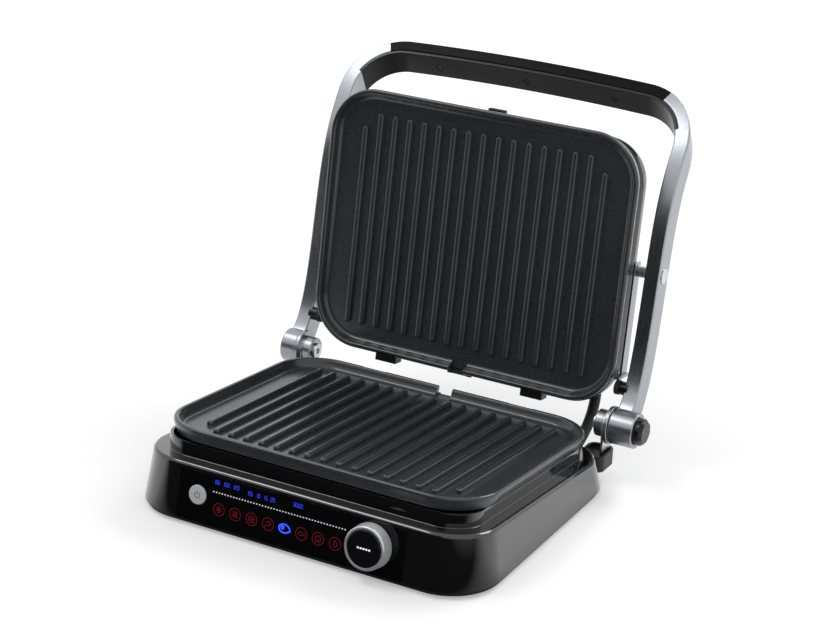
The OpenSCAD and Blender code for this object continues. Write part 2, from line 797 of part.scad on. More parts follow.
module power_button() color([0.8, 0.8, 0.82]) on_front() translate([power_x, power_v, 0]) {
    translate([0, 0, -fascia_t]) cylinder(r = power_r, h = fascia_t + power_h);
    translate([0, 0, -fascia_t - board_gap + switch_h + seat + press_travel])
        cylinder(r = switch_r - 0.5, h = board_gap - switch_h - seat - press_travel + 0.1);
}

module lower_clip_left() color([0.07, 0.07, 0.07]) on_plate() rotate([0, 0, 180])
    translate([clip_x, 0, 0]) clip(low_clip_out, low_clip_foot);
module lower_clip_right() color([0.07, 0.07, 0.07]) on_plate() rotate([0, 0, 180])
    translate([-clip_x, 0, 0]) clip(low_clip_out, low_clip_foot);
module upper_clip_left() color([0.07, 0.07, 0.07]) on_lid()
    translate([-clip_x, 0, 0]) clip(clip_out, lid_clip_foot);
module upper_clip_right() color([0.07, 0.07, 0.07]) on_lid()
    translate([clip_x, 0, 0]) clip(clip_out, lid_clip_foot);

module release_button() color([0.08, 0.08, 0.09]) on_hinge() {
    face_x = boss_x1 + button_out - button_face;
    x_rod(button_r - fit_gap, button_x0, face_x);
    translate([face_x - eps, 0, 0]) rotate([0, 90, 0]) rotate([0, 0, 180 / button_sides])
        cylinder(r1 = button_r - 1, r2 = button_r - 2, h = button_face, $fn = button_sides);
}

// Side view of the bow, filled, as a strip along the spine.
module bow_profile(grow) {
    n = len(spine) - 1;
    polygon(concat(
        [for (i = [0 : n]) side_of(i, -arm_d / 2 - grow)],
        [for (i = [n : -1 : 0]) side_of(i, arm_d / 2 + grow)]
    ));
}

// The bow seen square to the handle bar, as the outline that lies t outside its inner
// edge: a U with round shoulders and a slight arch.
function shoulder(sx, r, a) = [sx * (bow_mid + r * cos(a)), corner_y + r * sin(a)];
module bow_outline(t) {
    r = bow_in_r + t;
    arch_r = bow_arch - arm_w + t;
    polygon(concat(
        [[arm_in + t, 0]],
        [for (i = [0 : corner_steps]) shoulder(1, r, (90 - arch_half) * i / corner_steps)],
        [for (i = [1 : arch_steps - 1]) let (a = 90 - arch_half + 2 * arch_half * i / arch_steps)
            [arch_r * cos(a), arch_y + arch_r * sin(a)]],
        [for (i = [corner_steps : -1 : 0]) shoulder(-1, r, (90 - arch_half) * i / corner_steps)],
        [[-arm_in - t, 0]]
    ));
}

// What of the bow lies between two outlines, as a bent strip.
module bow(t0, t1, grow = 0) {
    intersection() {
        rotate([90, 0, 90]) translate([0, 0, -arm_out - 1]) linear_extrude(2 * arm_out + 2)
            bow_profile(grow);
        in_bar_frame() linear_extrude(3 * hinge_y) difference() {
            bow_outline(t1);
            bow_outline(t0);
        }
    }
}

// The bar's stretch of the bow, ended on both shoulders at an angle round them.
module bar_zone(a) {
    far = 4 * bow_r;
    in_bar_frame() linear_extrude(3 * hinge_y)
        polygon([shoulder(1, 0, a), shoulder(1, far, a), shoulder(-1, far, a), shoulder(-1, 0, a)]);
}

module in_bar_frame() {
    rotate([handle_lean, 0, 0]) translate([0, 0, -hinge_y]) children();
}

module arm_body(right) {
    s = right ? 1 : -1;
    difference() {
        union() {
            difference() {
                bow(0, arm_w);
                bar_zone(grip_end);
                translate([right ? -2 * arm_out : 0, 0, 0])
                    cube([2 * arm_out, 2 * top_end[0], 2 * top_end[1]]);
            }
            on_hinge() x_rod_side(boss_r, boss_x0, right ? boss_x1 : arm_out + 0.5, s);
        }
        intersection() {
            bow(-1, cover_strip, 1);
            bar_zone(cover_end);
        }
        on_hinge() {
            x_rod_side(pin_r + fit_gap, boss_x0 - 1, pin_x1 + seat, s);
            if (right) x_rod_side(button_r, button_x0 - press - seat, boss_x1 + 1, s);
        }
        translate([0, pivot[1], pivot[2]]) {
            x_rod_side(pivot_r + fit_gap, arm_in - 1, arm_in + pivot_deep + seat, s);
            x_rod_side(plug_r, arm_out - plug_deep, arm_out + 1, s);
        }
        translate([0, stop_at[1], stop_at[2]]) x_rod_side(stop_stem_r, arm_in - 1, arm_in + stop_deep, s);
    }
}

module x_rod_side(r, x0, x1, s) {
    if (s > 0) x_rod(r, x0, x1);
    else x_rod(r, -x1, -x0);
}

module arm_left() color([0.78, 0.79, 0.8]) arm_body(false);
module arm_right() color([0.78, 0.79, 0.8]) arm_body(true);

module grip_screw_places() {
    for (x = grip_screw_x) in_bar_frame()
        translate([x, screw_reach(x), bar_z + hinge_y]) rotate([-90, 0, 0]) children();
}

module handle_grip() color([0.06, 0.06, 0.065]) difference() {
    intersection() {
        bow(cover_strip, arm_w);
        bar_zone(grip_end);
    }
    grip_screw_places() cylinder(r = screw_r + fit_gap, h = grip_screw_l + 2);
}

module handle_cover() color([0.1, 0.1, 0.1]) difference() {
    intersection() {
        bow(0, cover_strip);
        bar_zone(cover_end);
    }
    grip_screw_places() {
        translate([0, 0, -1]) cylinder(r = screw_r + fit_gap, h = cover_strip + 2);
        translate([0, 0, -1]) cylinder(r = head_r + fit_gap, h = 2.6);
    }
}

module handle_screws() color([0.3, 0.3, 0.32]) grip_screw_places() {
    translate([0, 0, seat]) cylinder(r = head_r, h = 1.3);
    translate([0, 0, seat]) cylinder(r = screw_r, h = grip_screw_l);
}

module pivot_plugs() color([0.85, 0.86, 0.88]) both_sides() translate([0, pivot[1], pivot[2]])
    x_rod(plug_r - fit_gap, arm_out - plug_deep, arm_out + 1);

module stop_bosses() color([0.75, 0.76, 0.78]) both_sides() translate([0, stop_at[1], stop_at[2]])
    x_rod(stop_stem_r, stop_x0 + stop_w, arm_in + stop_deep);

module stop_bumpers() color([0.05, 0.05, 0.05]) both_sides() translate([0, stop_at[1], stop_at[2]])
    x_rod(stop_r, stop_x0, stop_x0 + stop_w);

// The frame behind the upper plate: a floor with screw bosses, open above for the pan.
module lid_housing() color([0.1, 0.09, 0.085]) on_lid() difference() {
    union() {
        translate([0, housing_mid, 0]) slab(housing_w, housing_l, housing_r, cover_z, housing_z);
        lid_screw_places() translate([0, 0, wall + seat]) cylinder(r = lid_boss_r, h = cover_d - wall);
    }
    lid_screw_places() cylinder(r = screw_r + fit_gap, h = lid_screw_l + 1);
    slab(plate_w - 2 * room_in, plate_l - 2 * room_in, plate_r - room_in, pan_floor - seat, 10);
    for (s = [-1, 1])
        translate([s * clip_x - clip_w / 2 - seat, housing_end - 1, lid_clip_foot - seat])
            cube([clip_w + 2 * seat, clip_out, 40]);
    translate([0, 0, cover_z - 1]) cylinder(r = probe_flange_r + 0.5, h = 5);
}

module lid_cover() color([0.06, 0.06, 0.065]) on_lid() difference() {
    lid_form(0);
    lid_form(wall);
    lid_screw_places() {
        translate([0, 0, -1]) cylinder(r = lid_head_r + fit_gap, h = lid_head_t + 1);
        cylinder(r = screw_r + fit_gap, h = wall + 1);
    }
    translate([0, 0, -pivot_back]) x_rod(pivot_r + fit_gap, -cover_w, cover_w);
    translate([sleeve_x, 0, cover_z - sleeve_deep]) rotate([90, 0, 0])
        cylinder(r = sleeve_r + 2, h = cover_l);
}

// The outside of the lid's cover, or with an inset the room inside it.
module lid_form(inset) {
    translate([0, housing_mid, cover_z + (inset > 0 ? 1 : 0)]) mirror([0, 0, 1])
        pillow(cover_w - 2 * inset, cover_l - 2 * inset, cover_r - inset, cover_edge - inset,
            cover_d - inset + (inset > 0 ? 1 : 0));
}

module lid_straps() color([0.8, 0.8, 0.81]) on_lid() both_sides() difference() {
    union() {
        translate([cover_w / 2 + 0.02, strap_y0, -pivot_back - strap_w / 2])
            cube([strap_t, strap_y1 - strap_y0, strap_w]);
        translate([foot_x, stop_y + stop_r + seat, -pivot_back])
            cube([strap_foot_w, strap_foot, pivot_back + housing_z - seat]);
    }
    translate([0, 0, -pivot_back]) x_rod(pivot_r + fit_gap, cover_w / 2 - 1, cover_w / 2 + 10);
}

module pivot_pins() color([0.82, 0.83, 0.85]) both_sides() translate([0, pivot[1], pivot[2]]) {
    x_rod(pivot_r, cover_w / 2 - 6, arm_in + pivot_deep);
    x_rod(pivot_r + 1.5, cover_w / 2 + strap_t + 0.1, arm_in - seat);
}

module upper_reflector() color([0.75, 0.76, 0.78]) on_lid() {
    reflector_pan();
}

module upper_heater() color([0.35, 0.35, 0.37]) on_lid() heater_run();
module upper_thermostat() color([0.7, 0.7, 0.72]) on_lid() thermostat();
module upper_plate() color([0.22, 0.22, 0.23]) on_lid() grill_plate();

module lid_screw_places() {
    for (sx = [-1, 1]) for (sy = [-1, 1])
        translate([sx * cover_w * 0.37, housing_mid + sy * cover_l * 0.34, cover_z - cover_d])
            children();
}

module lid_screws() color([0.6, 0.6, 0.62]) on_lid() lid_screw_places() {
    cylinder(r = lid_head_r, h = lid_head_t);
    cylinder(r = screw_r, h = lid_screw_l);
}

module lid_latch() color([0.07, 0.07, 0.07]) on_lid()
    translate([-latch_w / 2, housing_mid + cover_l / 2, cover_z - latch_t - 1.6])
        cube([latch_w, latch_out, latch_t]);

// A tube of round section swept along a chain of points that all share one x.
module swept_tube(pts, r, sides) {
    n = len(pts);
    rings = [for (i = [0 : n - 1])
        let (d = unit(pts[min(i + 1, n - 1)] - pts[max(i - 1, 0)]))
        for (k = [0 : sides - 1])
            let (a = 360 * k / sides)
            pts[i] + r * cos(a) * [1, 0, 0] + r * sin(a) * [0, -d[2], d[1]]
    ];
    walls = [for (i = [0 : n - 2]) for (k = [0 : sides - 1])
        let (m = (k + 1) % sides)
        [i * sides + k, i * sides + m, (i + 1) * sides + m, (i + 1) * sides + k]
    ];
    polyhedron(rings, concat(walls,
        [[for (k = [sides - 1 : -1 : 0]) k]],
        [[for (k = [0 : sides - 1]) (n - 1) * sides + k]]));
}

module cable_sleeve() color([0.05, 0.05, 0.05])
    swept_tube([for (i = [0 : sleeve_rings]) sleeve_at(i / sleeve_rings)], sleeve_r, sleeve_sides);

module sleeve_grommet() color([0.08, 0.08, 0.08]) on_back() translate([sleeve_x, sleeve_v, 0])
    difference() {
        union() {
            translate([0, 0, -grommet_deep]) cylinder(r = grommet_r, h = grommet_deep + 1);
            cylinder(r = grommet_r + 2, h = grommet_out);
        }
        translate([0, 0, -grommet_deep - 1]) cylinder(r = sleeve_r + fit_gap, h = 10);
    }

lower_shell();
upper_shell();
rubber_feet();
base_screws();
control_fascia();
control_board();
encoder();
power_switch();
main_board();
terminal_block();
cord_gland();
lower_reflector();
lower_heater();
lower_thermostat();
lower_plate();
drip_tray();
hinge_sockets();
hinge_posts();
hinge_flanges();
hinge_pins();
knob_ring();
knob_cap();
power_button();
lower_clip_left();
lower_clip_right();
release_button();
arm_left();
arm_right();
handle_grip();
handle_cover();
handle_screws();
pivot_plugs();
stop_bosses();
stop_bumpers();
lid_housing();
lid_cover();
lid_straps();
pivot_pins();
upper_reflector();
upper_heater();
upper_thermostat();
upper_plate();
lid_screws();
lid_latch();
upper_clip_left();
upper_clip_right();
cable_sleeve();
sleeve_grommet();
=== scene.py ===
"""Electric indoor grill: the finished pieces, built round the frame of solid parts."""

import json
import math
from types import SimpleNamespace

import bmesh
import bpy
from mathutils import Matrix, Vector


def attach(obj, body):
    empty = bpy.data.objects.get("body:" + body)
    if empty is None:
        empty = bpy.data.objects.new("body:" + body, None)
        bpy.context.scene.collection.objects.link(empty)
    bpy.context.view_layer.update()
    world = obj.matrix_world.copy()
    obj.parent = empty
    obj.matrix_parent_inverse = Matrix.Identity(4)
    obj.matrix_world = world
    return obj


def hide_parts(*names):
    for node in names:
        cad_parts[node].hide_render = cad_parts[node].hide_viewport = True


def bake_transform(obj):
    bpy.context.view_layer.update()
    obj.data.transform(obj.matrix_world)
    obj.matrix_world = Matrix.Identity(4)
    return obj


bl_info = {
    "name": "Indoor Grill",
    "version": (1, 0, 0),
    "blender": (4, 5, 0),
    "location": "3D View > Sidebar > Grill",
    "description": "Builds the finished pieces of an electric indoor grill",
    "category": "Object",
}

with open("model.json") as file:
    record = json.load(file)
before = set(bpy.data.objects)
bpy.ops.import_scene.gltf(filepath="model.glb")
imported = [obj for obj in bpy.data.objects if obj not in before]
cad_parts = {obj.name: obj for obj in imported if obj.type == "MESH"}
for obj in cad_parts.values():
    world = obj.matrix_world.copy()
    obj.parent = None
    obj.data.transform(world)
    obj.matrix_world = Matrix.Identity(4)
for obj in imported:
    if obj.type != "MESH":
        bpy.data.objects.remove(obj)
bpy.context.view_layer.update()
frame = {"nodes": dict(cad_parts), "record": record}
SLOT_OF = {row["node"]: row["material_slot"] for row in frame["record"]["subparts"]}
BODY_OF = {
    node: body
    for body, nodes in frame["record"]["behaviour"]["bodies"].items()
    for node in nodes
}


# Settings that a user would change. Lengths are given in millimetres and angles in degrees.


def size(label, text, mm):
    return bpy.props.FloatProperty(
        name=label, description=text, default=mm / 1000, min=0.0, unit="LENGTH", precision=4
    )


def turn(label, text, degrees):
    return bpy.props.FloatProperty(
        name=label, description=text, default=math.radians(degrees), unit="ROTATION"
    )


def tally(label, text, number):
    return bpy.props.IntProperty(name=label, description=text, default=number, min=1)


def tint(label, text, *colour):
    return bpy.props.FloatVectorProperty(
        name=label, description=text, default=colour, min=0.0, max=8.0, size=3, subtype="COLOR"
    )


class GrillSizes(bpy.types.PropertyGroup):
    """Sizes that the pieces share"""

    foot_w: size("Shell Foot Width", "Width of the shell where it leaves the band", 358.6)
    foot_l: size("Shell Foot Length", "Front to back length of the shell at its foot", 294.6)
    foot_r: size("Shell Foot Corner", "Corner radius of the shell at its foot", 50)
    shell_z: size("Shell Foot Height", "Height of the shell's foot above the table", 6)
    wall: size("Shell Wall", "Wall thickness of the moulded shells", 2.6)
    deck_w: size("Deck Width", "Width of the deck at its outer edge", 344.6)
    deck_r: size("Deck Corner", "Corner radius of the deck", 45)
    deck_drop: size("Deck Depth", "How far the deck lies under the tops of the ribs", 21.7)
    deck_edge: size("Deck Edge", "Width of the bevel between deck and wall", 2.4)
    deck_bend: bpy.props.FloatProperty(
        name="Deck Edge Bend", description="Roundness of that bevel", default=0.35, min=0.0, max=1.0
    )
    face_lean: turn("Face Lean", "How far the front face leans back", 9.8)
    tilt: turn("Plate Tilt", "How far the lower plate falls towards the hinge", 5.25)
    plate_w: size("Plate Width", "Width of each grill plate", 327)
    plate_l: size("Plate Length", "Length of each grill plate", 259)
    plate_r: size("Plate Corner", "Corner radius of each grill plate", 48)
    plate_t: size("Plate Thickness", "Thickness of a plate's floor", 4)
    plate_z: size("Plate Height", "Height of the lower rib tops at the base's middle", 66.2)
    plate_y: size("Plate Set Back", "How far the lower plate sits behind the base's middle", 7)
    rim_h: size("Rim Height", "Height of the rim over the rib tops", 4.4)
    rim_r: size("Rim Rounding", "Rounding along the top of the rim", 2.2)
    rib_h: size("Rib Height", "Height of the ribs over the plate's floor", 4.4)
    rib_w: size("Rib Width", "Width of each rib", 6.4)
    rib_l: size("Rib Length", "Length of each rib", 213)
    rib_cut: size("End Rib Cut", "How much shorter the first and last rib are", 14.4)
    rib_pitch: size("Rib Pitch", "Distance between ribs", 16)
    rib_count: tally("Ribs", "Number of ribs on each plate", 17)
    shut_gap: size("Shut Gap", "Gap between the two rims when shut", 0.4)
    hinge_y: size("Hinge Depth", "How far the hinge lies behind the base's middle", 148)
    hinge_z: size("Hinge Height", "Height of the hinge over the table", 55.5)
    open_angle: turn("Open Angle", "How far the lid is swung open", 92.85)
    pivot_back: size("Pivot Depth", "How far the lid's pivot lies behind the upper plate", 31.7)
    cover_l: size("Lid Length", "Length of the lid's cover", 252)
    housing_d: size("Housing Depth", "Depth of the frame behind the upper plate", 12.2)
    housing_l: size("Housing Length", "Length of the frame behind the upper plate", 257)
    housing_back: size("Housing Lip", "How far the frame passes the plate at the hinge", 3.5)
    arm_in: size("Arm Place", "Distance from the middle to an arm's inner side", 172)
    arm_w: size("Arm Width", "Width of an arm from side to side", 15)
    arm_d: size("Arm Depth", "Depth of an arm from front to back", 24)
    arm_edge: size("Arm Edge", "Rounding along the arms", 1.6)
    bow_r: size("Shoulder Radius", "Outer radius of the bow's shoulders", 60)
    bow_arch: size("Handle Arch", "Radius of the slight arch of the handle", 2600)
    handle_top: size("Handle Height", "Height of the handle over the table", 341)
    handle_back: size("Handle Reach", "How far the handle lies behind the lid's pivot", 83.5)
    handle_lean: turn("Handle Lean", "How far the handle bar leans", 26)
    grip_end: turn("Grip End", "Where round the shoulder the grip ends", 65)
    cover_end: turn("Inner Strip End", "Where round the shoulder the inner strip ends", 22)
    cover_strip: size("Inner Strip", "Thickness of the handle's inner strip", 3)
    knob_x: size("Knob Place", "Distance of the knob from the panel's middle", 77.5)
    knob_v: size("Key Height", "Height of knob and power key up the panel", 26)
    knob_r: size("Knob Radius", "Outer radius of the knob", 20.5)
    cap_r: size("Knob Cap Radius", "Radius of the key in the knob", 16.6)
    power_x: size("Power Key Place", "Distance of the power key from the panel's middle", 100.5)
    power_r: size("Power Key Radius", "Radius of the power key", 8.9)
    sleeve_x: size("Sleeve Place", "Distance of the cable sleeve from the middle", 133)
    sleeve_r: size("Sleeve Radius", "Radius of the cable sleeve", 5.5)
    icon_count: tally("Icons", "Number of program icons on the panel", 8)
    icon_pitch: size("Icon Pitch", "Distance between program icons", 17.1)
    icon_r: size("Icon Radius", "Radius of the ring round an icon", 5.7)


class GrillTints(bpy.types.PropertyGroup):
    """Colours of the finishes"""

    gloss: tint("Shell", "Polished black plastic", 0.006, 0.006, 0.0065)
    panel: tint("Panel", "Polished panel in front of the lights", 0.003, 0.003, 0.0035)
    matte: tint("Trim", "Matte black plastic", 0.011, 0.011, 0.012)
    grip: tint("Grip", "Handle grip", 0.004, 0.004, 0.0045)
    strip: tint("Handle Strip", "Satin strip inside the handle", 0.011, 0.011, 0.012)
    housing: tint("Lid Housing", "Satin plastic round the upper plate", 0.012, 0.011, 0.010)
    coating: tint("Non Stick", "Coating of the grill plates", 0.026, 0.0295, 0.0335)
    alloy: tint("Aluminium", "Brushed aluminium of the arms", 0.36, 0.38, 0.41)
    silver: tint("Knob Silver", "Spun aluminium of knob and power key", 0.70, 0.71, 0.73)
    steel: tint("Steel", "Bright steel of the hinge pieces", 0.62, 0.63, 0.65)
    # The unlit icons emit a faint glow of this red: painted glow, as no lamp lights them.
    red: tint("Unlit Icons", "Dark red of the icons that are off", 0.20, 0.004, 0.010)
    blue: tint("Lit Marks", "Blue of the marks that are on", 0.02, 0.06, 1.0)
    # The pale print emits light of this colour: painted glow, on the dotted line and on the knob's
    # mark.
    white: tint("Printed Line", "Pale print on the panel", 0.62, 0.63, 0.66)


# Fixed measures, in millimetres, as the solid parts have them: the gap under a seated part,
# how far the shell passes the band under it, the insets of the collar on the deck, and how
# high up the back the sleeve's hole is.

SEAT = 0.3
OVERHANG = 2
COLLAR_IN, COLLAR_OUT = 14.0, 17.0
SLEEVE_V = 16


def measures():
    """The sizes with lengths in millimetres, and the frames that follow from them."""
    props = bpy.context.scene.grill_sizes
    values = {}
    for key, rule in props.bl_rna.properties.items():
        if rule.type in {"FLOAT", "INT"}:
            value = getattr(props, key)
            values[key] = value * 1000 if rule.unit == "LENGTH" else value
    s = SimpleNamespace(**values)
    s.floor_z = -s.rib_h
    s.under_z = s.floor_z - s.plate_t
    s.cover_z = s.under_z - SEAT - s.housing_d
    s.housing_mid = (s.housing_l - s.plate_l) / 2 - s.housing_back
    add_places(s)
    return s


def add_places(s):
    """Adds the frames of plate, lid and faces, as in the solid parts, in millimetres."""
    slope = Vector((0, math.sin(s.tilt), math.cos(s.tilt)))
    hinge = Vector((0, s.hinge_y, s.hinge_z))
    plate_mid = Vector((0, s.plate_y * math.cos(s.tilt), s.plate_z - s.plate_y * math.sin(s.tilt)))
    shut_mid = plate_mid + (2 * s.rim_h + s.shut_gap) * slope
    lid_mid = hinge + Matrix.Rotation(-s.open_angle, 3, "X") @ (shut_mid - hinge)
    s.hinge = hinge
    s.plate = Matrix.Translation(plate_mid) @ Matrix.Rotation(-s.tilt, 4, "X")
    s.lower = s.plate @ Matrix.Rotation(math.pi, 4, "Z")
    s.lid = Matrix.Translation(lid_mid) @ Matrix.Rotation(math.pi - s.tilt - s.open_angle, 4, "X")
    front = Matrix.Translation((0, -s.foot_l / 2, s.shell_z))
    s.front = front @ Matrix.Rotation(math.pi / 2 - s.face_lean, 4, "X")
    s.back = Matrix.Scale(-1, 4, (0, 1, 0)) @ s.front
    s.pivot = s.lid @ Vector((0, 0, -s.pivot_back))
    rise = s.plate_z - s.deck_drop - s.shell_z
    half = s.foot_l / 2 - OVERHANG
    ends = [
        s.foot_l / 2 - (rise + way * half * math.tan(s.tilt)) * math.tan(s.face_lean)
        for way in (1, -1)
    ]
    s.deck_l = (ends[0] + ends[1]) / math.cos(s.tilt)
    s.deck_y = (ends[1] - ends[0]) / 2 - s.plate_y + s.deck_drop * math.sin(s.tilt)


# Node trees for finishes and repeated pieces.


def maths(operation, swapped=False):
    """A method for a Python operator that adds a Math node."""

    def run(self, other):
        pair = (other, self) if swapped else (self, other)
        return self.graph.node("ShaderNodeMath", {"operation": operation}, *pair)

    return run


class Wire:
    """A socket of a node tree, with arithmetic that adds Math nodes."""

    __add__, __radd__ = maths("ADD"), maths("ADD", True)
    __sub__, __rsub__ = maths("SUBTRACT"), maths("SUBTRACT", True)
    __mul__, __rmul__ = maths("MULTIPLY"), maths("MULTIPLY", True)
    __gt__, __lt__ = maths("GREATER_THAN"), maths("LESS_THAN")

    def __init__(self, graph, socket):
        self.graph, self.socket = graph, socket

    def out(self, name):
        return Wire(self.graph, self.socket.node.outputs[name])


class Graph:
    """Adds nodes to one tree."""

    def __init__(self, tree):
        self.tree = tree

    def plug(self, socket, value):
        """Links a wire to a socket, or sets its value."""
        if isinstance(value, Wire):
            self.tree.links.new(value.socket, socket)
        elif isinstance(value, (tuple, list)) and socket.type == "RGBA":
            socket.default_value = (*value[:3], 1.0)
        else:
            socket.default_value = value

    def node(self, kind, settings=None, *values, **named):
        """A node with its settings, its sockets filled in order or by name."""
        node = self.tree.nodes.new(kind)
        for key, value in (settings or {}).items():
            if key == "stops":
                for stop, (place, grey) in zip(node.color_ramp.elements, value):
                    stop.position, stop.color = place, (grey, grey, grey, 1.0)
            else:
                setattr(node, key, value)
        live = [socket for socket in node.inputs if socket.enabled]
        for index, value in enumerate(values):
            self.plug(live[index], value)
        for key, value in named.items():
            name = key.replace("_", " ")
            self.plug(next(socket for socket in live if socket.name == name), value)
        return Wire(self, next(socket for socket in node.outputs if socket.enabled))

    def close(self, kind, socket, value):
        """Ends the tree with its output node."""
        end = self.tree.nodes.new(kind)
        self.tree.links.new(value.socket, end.inputs[socket])

    def place(self):
        return self.node("ShaderNodeTexCoord").out("Object")

    def seen(self):
        """1 for rays of the camera, of reflections and through clear things, 0 for light."""
        path = self.node("ShaderNodeLightPath")
        mirrored = path.out("Is Glossy Ray") + path.out("Is Transmission Ray")
        return path.out("Is Camera Ray") + mirrored

    def noise(self, vector, scale, detail=2.0):
        return self.node("ShaderNodeTexNoise", None, Vector=vector, Scale=scale, Detail=detail)

    def vector(self, operation, *values, **named):
        return self.node("ShaderNodeVectorMath", {"operation": operation}, *values, **named)

    def stretch(self, vector, *scale):
        return self.vector("MULTIPLY", vector, scale)

    def ramp(self, value, low, high):
        """A value spread from 0 at low to 1 at high."""
        return self.node("ShaderNodeValToRGB", {"stops": [(low, 0.0), (high, 1.0)]}, value)

    def fade(self, metres, low, high):
        """A length within a metre of nought, spread from 0 at low to 1 at high."""
        return self.ramp(metres * 0.5 + 0.5, 0.5 + low / 2, 0.5 + high / 2)

    def blend(self, share, first, second):
        return self.node("ShaderNodeMix", {"data_type": "RGBA"}, share, first, second)

    def shades(self, share, colour, dark, pale):
        """From a darker to a paler shade of one colour."""
        return self.blend(share, shade(colour, dark), shade(colour, pale))

    def bump(self, height, strength, depth):
        return self.node("ShaderNodeBump", None, Strength=strength, Distance=depth, Height=height)


def shade(colour, amount):
    return tuple(min(1.0, part * amount) for part in colour)


def blank(owner):
    """A Graph for the emptied node tree of a material or world."""
    owner.use_nodes = True
    owner.node_tree.nodes.clear()
    return Graph(owner.node_tree)


def moulded(colour, rough, grain, depth, gleam=0.5):
    """Plastic or rubber with a fine moulded grain."""

    def paint(g):
        cloud = g.noise(g.place(), 16, 3)
        fine = g.noise(g.place(), grain)
        return {
            "Base Color": g.shades(g.ramp(cloud, 0.3, 0.7), colour, 0.82, 1.22),
            "Roughness": (cloud - 0.5) * 0.14 + (fine - 0.5) * 0.12 + rough,
            "Specular IOR Level": gleam,
            "Normal": g.bump(fine, 0.5, depth),
        }

    return paint


def polished(colour, rough, coat, gleam=0.5):
    """Polished plastic with faint wipe marks."""

    def paint(g):
        wipe = g.noise(g.stretch(g.place(), 30, 60, 60), 1.0, 4)
        haze = g.noise(g.place(), 9, 2)
        wave = g.noise(g.place(), 22, 1)
        return {
            "Base Color": g.shades(haze, colour, 0.8, 1.3),
            "Roughness": g.ramp(wipe, 0.45, 0.8) * 0.05 + haze * 0.03 + rough,
            "Specular IOR Level": gleam,
            "Coat Weight": coat,
            "Coat Roughness": 0.04,
            "Normal": g.bump(wave, 0.05, 0.0004),
        }

    return paint


def streaked(colour, rough, across=2600, along=26):
    """Metal brushed along the piece's own strip map."""

    def paint(g):
        strip = g.node("ShaderNodeUVMap", {"uv_map": "strip"})
        lines = g.noise(g.stretch(strip, along, across, 1), 1.0, 3)
        fine = g.noise(g.stretch(strip, along * 3, across * 3, 1), 1.0, 2)
        cloud = g.noise(g.place(), 12, 2)
        return {
            "Base Color": g.shades(lines, colour, 0.80, 1.12),
            "Metallic": 1.0,
            "Roughness": lines * 0.16 + (cloud - 0.5) * 0.10 + rough,
            "Normal": g.bump(lines + fine, 0.10, 0.0001),
        }

    return paint


def rolled(colour, rough, *scale):
    """Sheet metal with a rolled grain along one way."""

    def paint(g):
        lines = g.noise(g.stretch(g.place(), *scale), 1.0, 3)
        cloud = g.noise(g.place(), 30, 3)
        return {
            "Base Color": g.shades(lines, colour, 0.82, 1.1),
            "Metallic": 1.0,
            "Roughness": lines * 0.14 + cloud * 0.12 + rough,
            "Normal": g.bump(lines, 0.12, 0.0001),
        }

    return paint


# Heights between which the knob's side turns into its front face, in metres.
KNOB_FACE = (0.0118, 0.0128)


def spun(colour, rough, centre, axis, rings=2400, side=1.0):
    """Metal turned on a lathe, with fine rings about an axis.

    Side is how metallic the turned side stays below the front face.
    """

    def paint(g):
        away = g.vector("SUBTRACT", g.place(), centre)
        along = g.vector("DOT_PRODUCT", away, axis).out("Value")
        flat = g.vector("SUBTRACT", away, g.vector("SCALE", axis, Scale=along))
        radius = g.vector("LENGTH", flat).out("Value")
        turns = g.node(
            "ShaderNodeTexNoise", {"noise_dimensions": "1D"}, W=(radius + along) * rings, Scale=1.0
        )
        cloud = g.noise(g.place(), 40, 2)
        metallic = 1.0
        if side < 1.0:
            metallic = g.ramp(along, *KNOB_FACE) * (1.0 - side) + side
        return {
            "Base Color": g.shades(turns, colour, 0.78, 1.1),
            "Metallic": metallic,
            "Roughness": turns * 0.16 + cloud * 0.06 + rough,
            "Normal": g.bump(turns, 0.10, 0.0001),
        }

    return paint


def coated(colour, rough):
    """Sprayed non-stick coating with fine pale flecks."""

    def paint(g):
        cloud = g.noise(g.place(), 11, 3)
        grain = g.noise(g.place(), 1500, 3)
        flecks = g.node("ShaderNodeTexVoronoi", None, Vector=g.place(), Scale=620.0)
        fleck = (flecks > 0.10) * g.ramp(grain, 0.5, 0.62)
        base = g.shades(g.ramp(cloud, 0.3, 0.7), colour, 0.86, 1.16)
        return {
            "Base Color": g.blend(fleck * 0.5, base, shade(colour, 3.4)),
            "Roughness": (cloud - 0.5) * 0.10 + (grain - 0.5) * 0.12 + rough,
            "Specular IOR Level": 0.4,
            "Coat Weight": 0.4,
            "Coat Roughness": 0.17,
            "Normal": g.bump(grain, 0.15, 0.0001),
        }

    return paint


def glowing(colour, strength):
    """Print that glows by emission: a lamp behind the panel lights the blue marks and digits, while
    the glow of the unlit red icons and of the pale print is painted glow.
    """

    def paint(g):
        patch = g.noise(g.place(), 900, 1)
        return {
            "Base Color": shade(colour, 0.6),
            "Roughness": 0.3 + patch * 0.1,
            "Emission Color": g.shades(patch, colour, 0.75, 1.0),
            "Emission Strength": strength,
        }

    return paint


def laminate(colour, line):
    """Circuit board with its tracks."""

    def paint(g):
        tracks = g.node("ShaderNodeTexBrick", None, Vector=g.place(), Scale=160.0)
        mask = g.ramp(tracks.out("Fac"), 0.4, 0.6)
        fine = g.noise(g.place(), 500, 2)
        return {
            "Base Color": g.blend(mask, colour, line),
            "Roughness": fine * 0.2 + 0.3,
            "Normal": g.bump(mask, 0.2, 0.0001),
        }

    return paint


